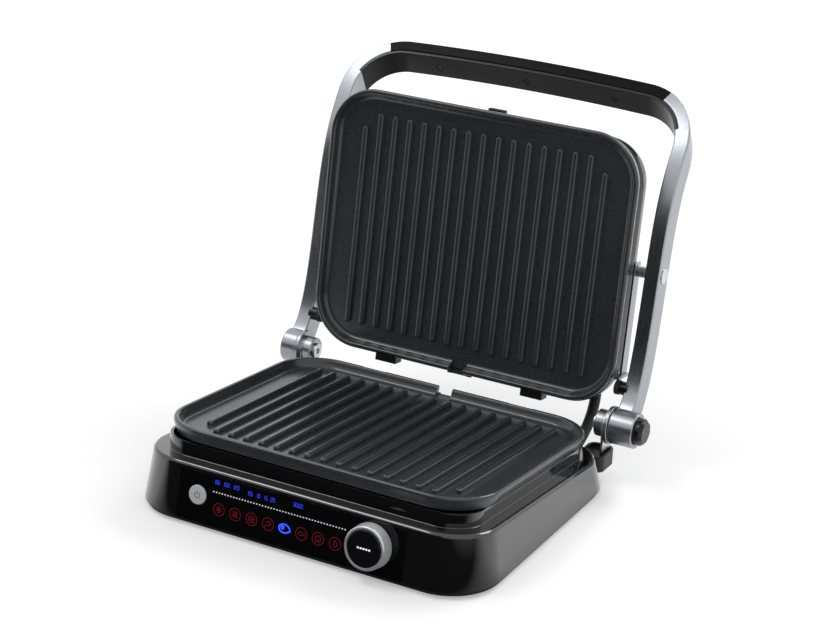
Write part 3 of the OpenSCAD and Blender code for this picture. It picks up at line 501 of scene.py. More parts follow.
def finishes():
    """What each material slot, and each print, is painted with."""
    t = bpy.context.scene.grill_tints
    s = measures()
    pick = {key: tuple(getattr(t, key)) for key in t.bl_rna.properties.keys() if key not in SKIP}
    metre = 0.001
    hinge = tuple(s.hinge * metre)
    knob = tuple(s.front @ Vector((s.knob_x, s.knob_v, 0)) * metre)
    face = tuple((s.front.to_3x3() @ Vector((0, 0, 1))).normalized())
    return {
        "gloss_black": polished(pick["gloss"], 0.06, 0.85),
        "panel_black": polished(pick["panel"], 0.05, 0.0, 0.3),
        "cap_black": polished((0.005, 0.005, 0.006), 0.20, 0.0, 0.35),
        "matte_black": moulded(pick["matte"], 0.38, 1700, 0.00006, 0.35),
        "grip_black": moulded(pick["grip"], 0.30, 2100, 0.00004, 0.06),
        "grip_grey": moulded(pick["strip"], 0.24, 1600, 0.00003, 0.3),
        "housing_dark": moulded(pick["housing"], 0.30, 1300, 0.00005, 0.4),
        "rubber_black": moulded((0.022, 0.022, 0.022), 0.72, 900, 0.0001),
        "sleeve_black": moulded((0.016, 0.016, 0.017), 0.55, 1200, 0.0001),
        "block_ivory": moulded((0.78, 0.75, 0.66), 0.5, 900, 0.0001),
        "plate_coating": coated(pick["coating"], 0.24),
        "brushed_alu": streaked(pick["alloy"], 0.20),
        "turned_alu": spun(pick["alloy"], 0.20, hinge, (1, 0, 0)),
        "bright_steel": rolled(pick["steel"], 0.16, 900, 900, 60),
        "screw_steel": rolled((0.50, 0.50, 0.52), 0.24, 700, 90, 700),
        "screw_dark": rolled((0.10, 0.10, 0.11), 0.30, 90, 700, 700),
        "reflector_tin": rolled((0.66, 0.67, 0.69), 0.22, 60, 700, 700),
        "heater_steel": rolled((0.16, 0.15, 0.15), 0.42, 200, 200, 200),
        "knob_silver": spun(pick["silver"], 0.19, knob, face, 3000, 0.25),
        "board_green": laminate((0.03, 0.17, 0.06), (0.30, 0.22, 0.05)),
        # Painted glow: the unlit red icons and their rings emit light though nothing lights them.
        "print_red": glowing(pick["red"], 0.42),
        "print_blue": glowing(pick["blue"], 2.2),
        "print_dim": glowing(pick["blue"], 1.0),
        # Painted glow: the pale print of the dotted line and of the knob's mark emits light of its
        # own.
        "print_white": glowing(pick["white"], 1.3),
        "print_grey": moulded((0.10, 0.10, 0.11), 0.5, 900, 0.00002),
    }


# Entries of a property group that are no settings, and the materials made so far.
SKIP = {"rna_type", "name"}
MADE = {}


def finish(name):
    """The material of that name, made when it is first asked for."""
    if name not in MADE:
        surface = bpy.data.materials.new(name)
        g = blank(surface)
        shader = g.tree.nodes.new("ShaderNodeBsdfPrincipled")
        for socket, value in finishes()[name](g).items():
            g.plug(shader.inputs[socket], value)
        g.close("ShaderNodeOutputMaterial", "Surface", Wire(g, shader.outputs[0]))
        MADE[name] = surface
    return MADE[name]


# Shapes, in millimetres.


def spread(first, last, count):
    """Numbers in even steps from the first to the last."""
    return [first + (last - first) * i / (count - 1) for i in range(count)]


def rounded(w, l, r, steps=14):
    """Points round a rounded rectangle."""
    points = []
    for k, (x, y) in enumerate(((1, 1), (-1, 1), (-1, -1), (1, -1))):
        for a in spread(k * math.pi / 2, (k + 1) * math.pi / 2, steps + 1):
            points.append((x * (w / 2 - r) + r * math.cos(a), y * (l / 2 - r) + r * math.sin(a)))
    return points


def level(outline, z):
    return [Vector((x, y, z)) for x, y in outline]


def curve(*controls, count=8):
    """Points of a Bezier curve through two ends and two controls, as (inset, height)."""
    a, b, c, d = (Vector(p) for p in controls)
    return [
        tuple(a * (1 - t) ** 3 + b * 3 * t * (1 - t) ** 2 + c * 3 * t * t * (1 - t) + d * t**3)
        for t in spread(0, 1, count)
    ]


def ellipse(x, y, w, h, first=0, last=360, count=19):
    return [
        (x + w * math.cos(math.radians(a)), y + h * math.sin(math.radians(a)))
        for a in spread(first, last, count)
    ]


class Shape:
    """Closed forms gathered into one mesh."""

    def __init__(self):
        self.points, self.faces, self.strips = [], [], []

    def add(self, points, faces, strips=None, place=None):
        start = len(self.points)
        self.points += [place @ Vector(p) if place else Vector(p) for p in points]
        self.faces += [tuple(start + i for i in face) for face in faces]
        self.strips += strips or [[(0.0, 0.0)] * len(face) for face in faces]
        return self

    def loft(self, rings, loop=False, place=None):
        """Joins rings of equally many points, and closes the ends or the loop."""
        n, m = len(rings[0]), len(rings)
        points = [Vector(p) for ring in rings for p in ring]
        mids = [sum((Vector(p) for p in ring), Vector()) / n for ring in rings]
        run = [0.0]
        for a, b in zip(mids, mids[1:]):
            run.append(run[-1] + (b - a).length / 1000)
        girth = [0.0]
        for k in range(n):
            step = Vector(rings[0][(k + 1) % n]) - Vector(rings[0][k])
            girth.append(girth[-1] + step.length / 1000)
        faces, strips = [], []
        for i in range(m if loop else m - 1):
            j = (i + 1) % m
            for k in range(n):
                q = (k + 1) % n
                faces.append((i * n + k, i * n + q, j * n + q, j * n + k))
                a, b = run[i], run[j] if j else run[i] + 0.001
                low, high = girth[k], girth[k + 1]
                strips.append([(a, low), (a, high), (b, high), (b, low)])
        if not loop:
            for i, order in ((0, -1), (m - 1, 1)):
                faces.append(tuple(range(i * n, (i + 1) * n))[::order])
                strips.append([(0.0, (points[v].y + points[v].x) / 1000) for v in faces[-1]])
        return self.add(points, faces, strips, place)

    def lathe(self, profile, place=None, loop=False, steps=72):
        """Turns a profile of (radius, height) about the third axis."""
        rings = [
            [
                Vector((r * math.cos(a), r * math.sin(a), z))
                for a in spread(0, math.tau, steps + 1)[:-1]
            ]
            for r, z in profile
        ]
        return self.loft(rings, loop, place)

    def block(self, low, high, place=None):
        """A box between two corners."""
        (x0, y0, z0), (x1, y1, z1) = low, high
        base = ((x0, y0), (x1, y0), (x1, y1), (x0, y1))
        points = [(x, y, z) for z in (z0, z1) for x, y in base]
        faces = [(3, 2, 1, 0), (4, 5, 6, 7), (0, 1, 5, 4), (1, 2, 6, 5), (2, 3, 7, 6), (3, 0, 4, 7)]
        return self.add(points, faces, None, place)

    def ribbon(self, line, width, low, high, closed=False, place=None):
        """A flat raised line along points of a plane."""
        line = [Vector((x, y)) for x, y in line]
        n = len(line)
        left, right = [], []
        for i, point in enumerate(line):
            before = line[i - 1] if closed or i else point
            after = line[(i + 1) % n] if closed or i < n - 1 else point
            way = (after - before).normalized()
            side = Vector((-way.y, way.x)) * width / 2
            left.append(point + side)
            right.append(point - side)
        rings = [[(*a, low), (*b, low), (*b, high), (*a, high)] for a, b in zip(left, right)]
        return self.loft(rings, closed, place)


def placed(name, data):
    """A new object in the scene."""
    thing = bpy.data.objects.new(name, data)
    bpy.context.scene.collection.objects.link(thing)
    return thing


def sheet_of(name, shape):
    """A mesh object of a shape, in metres, its faces pointing outwards."""
    mesh = bpy.data.meshes.new(name)
    mesh.from_pydata([p / 1000 for p in shape.points], [], shape.faces)
    layer = mesh.uv_layers.new(name="strip")
    corners = [uv for strip in shape.strips for uv in strip]
    layer.data.foreach_set("uv", [part for uv in corners for part in uv])
    work = bmesh.new()
    work.from_mesh(mesh)
    bmesh.ops.recalc_face_normals(work, faces=work.faces)
    work.to_mesh(mesh)
    work.free()
    mesh.shade_smooth()
    return placed(name, mesh)


def settle(thing):
    """Makes what the modifiers give the piece's own mesh, and takes them off."""
    bpy.context.view_layer.update()
    graph = bpy.context.evaluated_depsgraph_get()
    mesh = bpy.data.meshes.new_from_object(
        thing.evaluated_get(graph), preserve_all_data_layers=True, depsgraph=graph
    )
    thing.modifiers.clear()
    thing.data = mesh


def cut(thing, cutters):
    """Takes the cutters' forms away from a piece."""
    tools = []
    for i, shape in enumerate(cutters):
        tool = sheet_of(f"cutter_{i}", shape)
        mod = thing.modifiers.new("cut", "BOOLEAN")
        mod.operation, mod.object, mod.solver = "DIFFERENCE", tool, "EXACT"
        tools.append(tool)
    settle(thing)
    for tool in tools:
        bpy.data.objects.remove(tool)


def soften(thing, width, segments=2, angle=38):
    """Rounds the sharp edges and shades the faces smooth."""
    if width:
        mod = thing.modifiers.new("round", "BEVEL")
        mod.width, mod.segments = width / 1000, segments
        mod.limit_method, mod.angle_limit = "ANGLE", math.radians(angle)
        mod.use_clamp_overlap = True
        settle(thing)
    thing.data.shade_smooth()
    thing.data.set_sharp_from_angle(angle=math.radians(angle + 4))
    mod = thing.modifiers.new("normals", "WEIGHTED_NORMAL")
    mod.keep_sharp, mod.weight = True, 60
    settle(thing)


def dress(thing, slot, body, *stands_for, paint=None):
    """Gives a piece its finish and its body, and hides the solids that it stands for."""
    thing.data.materials.clear()
    thing.data.materials.append(finish(paint or slot))
    for face in thing.data.polygons:
        face.material_index = 0
    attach(thing, body)
    if stands_for:
        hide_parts(*stands_for)
    return thing


def make(name, shape, slot, body, *stands_for, paint=None, width=0.0, cuts=(), angle=38):
    """One finished piece from a shape."""
    thing = sheet_of(name, shape)
    if cuts:
        cut(thing, cuts)
    soften(thing, width, angle=angle)
    return dress(thing, slot, body, *stands_for, paint=paint)


def rounded_copy(node, width, segments=2, paint=None):
    """A copy of a solid part with its triangles merged and its edges rounded."""
    mesh = frame["nodes"][node].data.copy()
    work = bmesh.new()
    work.from_mesh(mesh)
    bmesh.ops.remove_doubles(work, verts=work.verts, dist=0.000002)
    flat = math.radians(0.6)
    bmesh.ops.dissolve_limit(work, angle_limit=flat, verts=work.verts, edges=work.edges)
    work.to_mesh(mesh)
    work.free()
    thing = placed(node + "_finished", mesh)
    soften(thing, width, segments)
    return dress(thing, SLOT_OF[node], BODY_OF[node], node, paint=paint)


# Repeats.

ROW_INPUTS = {
    "Geometry": "Geometry",
    "Piece": "Object",
    "Count": "Int",
    "Start": "Vector",
    "Step": "Vector",
    "End Shift": "Vector",
    "End Scale": "Vector",
    "Finish": "Material",
}


def row_tree():
    """Geometry nodes for like pieces in a straight row, the end ones shorter."""
    tree = bpy.data.node_groups.get("piece_row")
    if tree:
        return tree
    tree = bpy.data.node_groups.new("piece_row", "GeometryNodeTree")
    tree.interface.new_socket("Geometry", in_out="OUTPUT", socket_type="NodeSocketGeometry")
    for name, kind in ROW_INPUTS.items():
        tree.interface.new_socket(name, in_out="INPUT", socket_type="NodeSocket" + kind)
    g = Graph(tree)
    given = g.node("NodeGroupInput")
    line = g.node(
        "GeometryNodeMeshLine",
        None,
        Count=given.out("Count"),
        Start_Location=given.out("Start"),
        Offset=given.out("Step"),
    )
    index = g.node("GeometryNodeInputIndex")
    ends = (index < 0.5) + (index > given.out("Count") - 1.5)
    shift = g.vector("SCALE", given.out("End Shift"), Scale=ends)
    line = g.node("GeometryNodeSetPosition", None, Geometry=line, Offset=shift)
    drop = g.vector("SUBTRACT", given.out("End Scale"), (1, 1, 1))
    grow = g.vector("ADD", g.vector("SCALE", drop, Scale=ends), (1, 1, 1))
    piece = g.node("GeometryNodeObjectInfo", None, Object=given.out("Piece")).out("Geometry")
    many = g.node("GeometryNodeInstanceOnPoints", None, Points=line, Instance=piece, Scale=grow)
    real = g.node("GeometryNodeRealizeInstances", None, Geometry=many)
    done = g.node("GeometryNodeSetMaterial", None, Geometry=real, Material=given.out("Finish"))
    g.close("NodeGroupOutput", "Geometry", done)
    return tree


def row(
    name, shape, count, start, step, slot, body, place, paint=None,
    end_shift=(0, 0, 0), end_scale=(1, 1, 1),
):
    """Like pieces in a row on a frame, as one piece of one body."""
    template = sheet_of(name + "_one", shape)
    soften(template, 0)
    thing = placed(name, bpy.data.meshes.new(name))
    mod = thing.modifiers.new("row", "NODES")
    tree = row_tree()
    mod.node_group = tree
    inputs = {
        "Piece": template,
        "Count": count,
        "Start": Vector(start) / 1000,
        "Step": Vector(step) / 1000,
        "End Shift": Vector(end_shift) / 1000,
        "End Scale": end_scale,
        "Finish": finish(paint or slot),
    }
    for item in tree.interface.items_tree:
        if item.item_type == "SOCKET" and item.in_out == "INPUT" and item.name in inputs:
            mod[item.identifier] = inputs[item.name]
    settle(thing)
    bpy.data.objects.remove(template)
    in_metres = place.copy()
    in_metres.translation = in_metres.translation / 1000
    thing.data.transform(in_metres)
    return dress(thing, slot, body, paint=paint)


# The base. Each cut through its shell is a box between two corners.

WINDOW = (-122, 0.6, -30), (110, 47.7, 30)
DRAIN = (-16, 124.5, -43), (16, 133.5, -8.9)
MOUTH_X, MOUTH_LOW, MOUTH_HIGH = 90.5, 5, 21.8
SOCKET_X, SOCKET_Y, SOCKET_LOW, SOCKET_HIGH = 158.75, 140.5, 14.3, 30.2
SOCKET_PLAN = (25.9, 33.4, 8.2)
GLAND_HOLE, SLEEVE_HOLE = 8.05, 7.05
GLAND_X, GLAND_V = -118, 14


def deck_ring(s, inset, z):
    """Points round the deck at a depth of the plate's frame."""
    outline = rounded(s.deck_w - 2 * inset, s.deck_l - 2 * inset, s.deck_r - inset)
    return [s.plate @ Vector((x, y + s.deck_y, z)) for x, y in outline]


def shell_rings(s):
    """Rings over the outside of the base shell and back along its inside."""
    foot = level(rounded(s.foot_w, s.foot_l, s.foot_r), s.shell_z)
    edge = deck_ring(s, 0, -s.deck_drop)
    inside = deck_ring(s, s.deck_edge, -s.deck_drop)
    below = [e + (f - e).normalized() * s.deck_edge for e, f in zip(edge, foot)]
    rings = [foot]
    rings += [[f.lerp(b, t) for f, b in zip(foot, below)] for t in (0.02, 0.5, 0.98)]
    for t in spread(0, 1, 7):
        rings.append(
            [
                b.lerp(i, t).lerp(b * (1 - t) ** 2 + e * 2 * t * (1 - t) + i * t * t, s.deck_bend)
                for b, e, i in zip(below, edge, inside)
            ]
        )
    near, far, drop, top = COLLAR_IN, COLLAR_OUT, -s.deck_drop, s.under_z - SEAT
    steps = [(near - 0.6, drop), (near - 0.3, drop + 0.08), (near - 0.08, drop + 0.3)]
    steps += [(near, drop + 0.6), (near, top - 0.5), (near + 0.12, top - 0.12), (near + 0.5, top)]
    steps += [(far - 0.5, top), (far - 0.12, top - 0.12), (far, top - 0.5), (far, drop - s.wall)]
    steps.append((s.wall + 0.8, drop - s.wall))
    rings += [deck_ring(s, inset, z) for inset, z in steps]
    plan = (s.foot_w - 2 * s.wall, s.foot_l - 2 * s.wall, s.foot_r - s.wall)
    rings.append(level(rounded(*plan), s.shell_z))
    return rings


def peg(r, low, high, place):
    """A plain cylinder."""
    return Shape().lathe([(r, low), (r, high)], place)


class GRILL_OT_base_shell(bpy.types.Operator):
    """Build the polished base shell, and the matte lower shell under it"""

    bl_idname = "grill.base_shell"
    bl_label = "Base Shell"

    def execute(self, context):
        s = measures()
        back = s.foot_l / 2
        mouth = (-MOUTH_X, back - 32, MOUTH_LOW), (MOUTH_X, back + 30, MOUTH_HIGH)
        cuts = [Shape().block(*WINDOW, s.front), Shape().block(*mouth)]
        cuts.append(Shape().block(*DRAIN, s.plate))
        for side in (-1, 1):
            outline = [(x + side * SOCKET_X, y + SOCKET_Y) for x, y in rounded(*SOCKET_PLAN)]
            cuts.append(Shape().loft([level(outline, z) for z in (SOCKET_LOW, SOCKET_HIGH)]))
        for x, v, r in ((GLAND_X, GLAND_V, GLAND_HOLE), (s.sleeve_x, SLEEVE_V, SLEEVE_HOLE)):
            cuts.append(peg(r, -20, 20, s.back @ Matrix.Translation((x, v, 0))))
        shape = Shape().loft(shell_rings(s), loop=True)
        make("base_shell", shape, "gloss_black", "base", "upper_shell", width=0.35, cuts=cuts)
        rounded_copy("lower_shell", 0.5)
        return {"FINISHED"}


# Marks on the panel. Each icon is a few lines inside its ring.

# The print's low and high side across the panel's face.
PRINT = (-0.05, 0.06)
PRINT_WIDTH, LIT_WIDTH, LIT_GROWTH = 0.6, 1.25, 1.75
ICON_X, ICON_V = -77.5, 17.6
LIT_ICON = 4
DOT_START, DOT_PITCH, DOTS = (-84.5, 32.8, 0), 3.0, 46
DISPLAYS = (("80 100 120", -82.8, 42), ("05 10 15 20", -48.2, 40.4), ("3000", -2.0, 42))
DIGIT_PITCH, DIGIT_UNIT, DIGIT_WIDTH = 2.55, 0.86, 0.3


def icon_lines():
    """Simple pictures: frozen food, bacon, bun, poultry, steak, fish, bread and flame."""
    frost = [[(0, -3.4), (0, 3.4)], [(-2.9, -1.7), (2.9, 1.7)], [(-2.9, 1.7), (2.9, -1.7)]]
    frost += [[(-1.0, 3.1), (0, 2.1), (1.0, 3.1)], [(-1.0, -3.1), (0, -2.1), (1.0, -3.1)]]
    waves = [
        [(x + 0.5 * math.sin(y * 2.0), y) for y in spread(-2.9, 2.9, 12)] for x in (-1.7, 0, 1.7)
    ]
    bun = [ellipse(0, 0.4, 3.0, 2.5, 0, 180, 13), [(-3.0, 0.4), (3.0, 0.4)]]
    bun += [[(-3.0, -0.8), (3.0, -0.8)], [(-3.0, -2.0), (-2.5, -2.7), (2.5, -2.7), (3.0, -2.0)]]
    leg = [ellipse(0.7, 0.7, 2.2, 1.8, -130, 170, 17), [(-0.8, -0.7), (-2.7, -2.6)]]
    leg += [ellipse(-2.8, -2.8, 0.5, 0.5, 0, 360, 9)]
    steak = [ellipse(-0.2, 0.2, 3.1, 2.2, 20, 320, 19), ellipse(-1.2, 0.6, 0.8, 0.7, 0, 360, 11)]
    steak += [[(2.7, 0.9), (3.4, -0.6), (2.2, -1.2)]]
    fish = [ellipse(-0.5, 0, 2.5, 1.5, 25, 335, 19)]
    fish += [[(1.8, 0.6), (3.3, 1.5), (3.3, -1.5), (1.8, -0.6)]]
    bread = [[(-2.6, -2.4), (2.6, -2.4), (2.6, 0.6)], ellipse(0, 0.8, 2.7, 1.8, 0, 180, 13)]
    bread += [[(-2.6, 0.6), (-2.6, -2.4)], [(-1.2, -1.0), (1.2, -1.0)]]
    flame = [(0, 3.2), (1.9, 0.8), (2.1, -1.2), (0.9, -2.8)]
    flame += [(-0.9, -2.8), (-2.1, -1.2), (-1.2, 0.6), (0, 3.2)]
    return [frost, waves, bun, leg, steak, fish, bread, [flame]]


# The strokes of a lit digit on a grid of two by four, and the strokes that each digit lights.
SEGMENTS = {
    "a": ((-1, 2), (1, 2)),
    "b": ((1, 2), (1, 0)),
    "c": ((1, 0), (1, -2)),
    "d": ((1, -2), (-1, -2)),
    "e": ((-1, -2), (-1, 0)),
    "f": ((-1, 0), (-1, 2)),
    "g": ((-1, 0), (1, 0)),
}
DIGITS = {
    "0": "abcdef",
    "1": "bc",
    "2": "abged",
    "3": "abgcd",
    "5": "afgcd",
    "8": "abcdefg",
}


def number(shape, text, x, v, place):
    """Adds a line of seven-stroke digits that starts at x."""
    for i, mark in enumerate(text):
        start = x + i * DIGIT_PITCH
        for part in DIGITS.get(mark, ""):
            line = [(start + a * DIGIT_UNIT, v + b * DIGIT_UNIT) for a, b in SEGMENTS[part]]
            shape.ribbon(line, DIGIT_WIDTH, *PRINT, place=place)


class GRILL_OT_control_panel(bpy.types.Operator):
    """Build the panel with its icons, dotted line and lit digits"""

    bl_idname = "grill.control_panel"
    bl_label = "Control Panel"

    def execute(self, context):
        s = measures()
        rounded_copy("control_fascia", 0.35)
        ring = ellipse(0, 0, s.icon_r, s.icon_r, 0, 352.5, 48)
        ring = Shape().ribbon(ring, 0.5, *PRINT, True)
        after = LIT_ICON + 1
        # The rings of the unlit icons carry the red painted glow.
        for name, first, count in (
            ("icon_rings_left", 0, LIT_ICON),
            ("icon_rings_right", after, s.icon_count - after),
        ):
            start = (ICON_X + first * s.icon_pitch, ICON_V, 0)
            row(name, ring, count, start, (s.icon_pitch, 0, 0), "panel_black", "base",
                place=s.front, paint="print_red")
        dark, bright = Shape(), Shape()
        for i, lines in enumerate(icon_lines()):
            lit = i == LIT_ICON
            grow = LIT_GROWTH if lit else 1.0
            middle = ICON_X + i * s.icon_pitch
            for line in lines:
                points = [(middle + x * grow, ICON_V + y * grow) for x, y in line]
                width = LIT_WIDTH if lit else PRINT_WIDTH
                (bright if lit else dark).ribbon(points, width, *PRINT, place=s.front)
        # The pictures of the unlit icons carry the same red painted glow.
        make("icon_lines", dark, "panel_black", "base", paint="print_red")
        make("lit_marks", bright, "panel_black", "base", paint="print_blue")
        digits = Shape()
        for text, x, v in DISPLAYS:
            number(digits, text, x, v, s.front)
        make("lit_digits", digits, "panel_black", "base", paint="print_dim")
        # The dots carry the painted glow of the pale print.
        dot = Shape().ribbon([(0, -0.5), (0, 0.5)], 1.0, *PRINT)
        row("dotted_line", dot, DOTS, DOT_START, (DOT_PITCH, 0, 0), "panel_black", "base",
            place=s.front, paint="print_white")
        return {"FINISHED"}


class GRILL_OT_knob_and_keys(bpy.types.Operator):
    """Build the knob with its cap, and the power key"""

    bl_idname = "grill.knob_and_keys"
    bl_label = "Knob and Keys"

    def execute(self, context):
        s = measures()
        at = s.front @ Matrix.Translation((s.knob_x, s.knob_v, 0))
        r, c = s.knob_r, s.cap_r
        foot, seat, top, bore = 0.8, 6.9, 14.0, 3.2
        ring = [(c + 0.12, seat), (c + 0.12, top - 0.9), (c + 0.4, top - 0.3), (c + 0.9, top)]
        ring += [(r - 2.1, top), (r - 1.5, top - 0.2), (r - 1.0, top - 0.7), (r - 0.75, top - 1.4)]
        ring += [(r - 0.7, top - 2), (r - 0.05, 2.4), (r, 1.5), (r - 0.3, foot)]
        ring += [(bore, foot), (bore, seat)]
        shape = Shape().lathe(ring, at, loop=True, steps=96)
        make("knob_ring_turned", shape, "knob_silver", "knob", "knob_ring")
        crown, dish, flat = 14.6, 0.55, c - 1.2
        cap = [(c - 0.08, 8.2), (c - 0.08, crown - 0.7), (c - 0.25, crown - 0.25)]
        cap += [(c - 0.7, crown), (flat, crown)]
        for x in (0.9, 0.75, 0.6, 0.4, 0.2, 0.02):
            cap.append((x * flat, crown - dish * (1 - x * x)))
        shape = Shape().lathe(cap, at, steps=96)
        make("knob_cap_dished", shape, "cap_black", "select_cap", "knob_cap")
        mark = Shape()
        half, width, low, high = 0.9, 1.5, 13.7, 14.2
        for x in (-5.6, -2.8, 0, 2.8, 5.6):
            mark.ribbon([(x - half, 0), (x + half, 0)], width, low, high, place=at)
        # The knob's mark carries the painted glow of the pale print.
        make("knob_mark", mark, "cap_black", "select_cap", paint="print_white")
        at = s.front @ Matrix.Translation((-s.power_x, s.knob_v, 0))
        r, top = s.power_r, 1.6
        key = [(r, -2.4), (r, top - 0.7), (r - 0.25, top - 0.25), (r - 0.8, top)]
        key += [(r * x, top - 0.12 * (1 - x)) for x in (0.75, 0.4, 0.02)]
        shape = Shape().lathe(key, at)
        shape.lathe([(2.5, -4.7), (2.5, -2.0)], at)
        make("power_key_turned", shape, "knob_silver", "power_key", "power_button")
        sign_low, sign_high = top - 0.2, top + 0.06
        sign = ellipse(0, 0, 2.7, 2.7, 125, 415, 25)
        sign = Shape().ribbon(sign, 0.6, sign_low, sign_high, place=at)
        sign.ribbon([(0, 0.7), (0, 3.6)], 0.6, sign_low, sign_high, place=at)
        make("power_sign", sign, "knob_silver", "power_key", paint="print_grey")
        return {"FINISHED"}


# The plates. Half widths of the notch over the spout, of the spout and of a clip's notch.

NOTCH_HALF, SPOUT_HALF, CLIP_HALF = 8, 13, 12.5
CLIP_X = 80
SPOUT_REACH = 4


def plate_rings(s):
    """Rings of a plate from its underside over the rim to its floor."""
    low, top, r = s.under_z, s.rim_h, s.rim_r
    profile = [(3.8, low), (2.9, low + 0.25), (2.5, low + 0.8), (2.4, low + 1.6), (0, 0.5)]
    profile += [(r - x, top - r + z) for x, z in ellipse(0, 0, r, r, 0, 90, 7)]
    profile += curve((3.4, top), (6.4, top), (5.2, s.floor_z), (11.5, s.floor_z), count=11)
    rings = []
    for inset, z in profile:
        plan = (s.plate_w - 2 * inset, s.plate_l - 2 * inset, s.plate_r - inset)
        rings.append(level(rounded(*plan, 18), z))
    return rings


def rib_shape(s):
    """One rib with a domed top and round ends."""
    profile = [(-0.5, -0.3), (0, 0.35), (0.08, 2.0), (0.35, 3.1)]
    profile += [(0.9, 3.85), (1.6, 4.25), (2.5, s.rib_h)]
    rings = []
    for inset, z in profile:
        w = s.rib_w - 2 * inset
        rings.append(level(rounded(w, s.rib_l - 2 * inset, w / 2 - 0.01, 6), s.floor_z + z))
    return Shape().loft(rings)


def add_plate(s, name, node, place, body):
    """A plate with its notches, its spout and its row of ribs."""
    end, low, floor = -s.plate_l / 2, s.under_z, s.floor_z
    notch = (-NOTCH_HALF, end - 5, floor - 1), (NOTCH_HALF, end + 13, 20)
    cuts = [Shape().block(*notch, place)]
    for x in (-CLIP_X, CLIP_X):
        notch = (x - CLIP_HALF, end - 1, floor), (x + CLIP_HALF, end + 2.5, 20)
        cuts.append(Shape().block(*notch, place))
    shape = Shape().loft(plate_rings(s), place=place)
    make(name, shape, "plate_coating", body, node, width=0.3, cuts=cuts, angle=50)
    lip = end - SPOUT_REACH
    spout = Shape().block((-SPOUT_HALF, lip, low), (SPOUT_HALF, end + 1, floor - 1), place)
    for side in (-1, 1):
        x0, x1 = sorted((side * NOTCH_HALF, side * SPOUT_HALF))
        spout.block((x0, lip, low), (x1, end + 1, floor), place)
    make(name + "_spout", spout, "plate_coating", body, width=0.5)
    shift, shorter = s.rib_cut / 2, 1 - s.rib_cut / s.rib_l
    start = (-(s.rib_count - 1) / 2 * s.rib_pitch, 0, 0)
    row(name + "_ribs", rib_shape(s), s.rib_count, start, (s.rib_pitch, 0, 0), "plate_coating",
        body, place=place, end_shift=(0, -shift, 0), end_scale=(1, shorter, 1))


class GRILL_OT_plates(bpy.types.Operator):
    """Build both grill plates with their rows of ribs"""

    bl_idname = "grill.plates"
    bl_label = "Grill Plates"

    def execute(self, context):
        s = measures()
        add_plate(s, "lower_grid", "lower_plate", s.lower, "base")
        add_plate(s, "upper_grid", "upper_plate", s.lid, "lid")
        return {"FINISHED"}


# The bow: two arms and the handle, whose inner strip has three sunk screws.

STRIP_SCREW_X, STRIP_SCREW_R, STRIP_SCREW_DEEP = 95, 3.3, 1.6


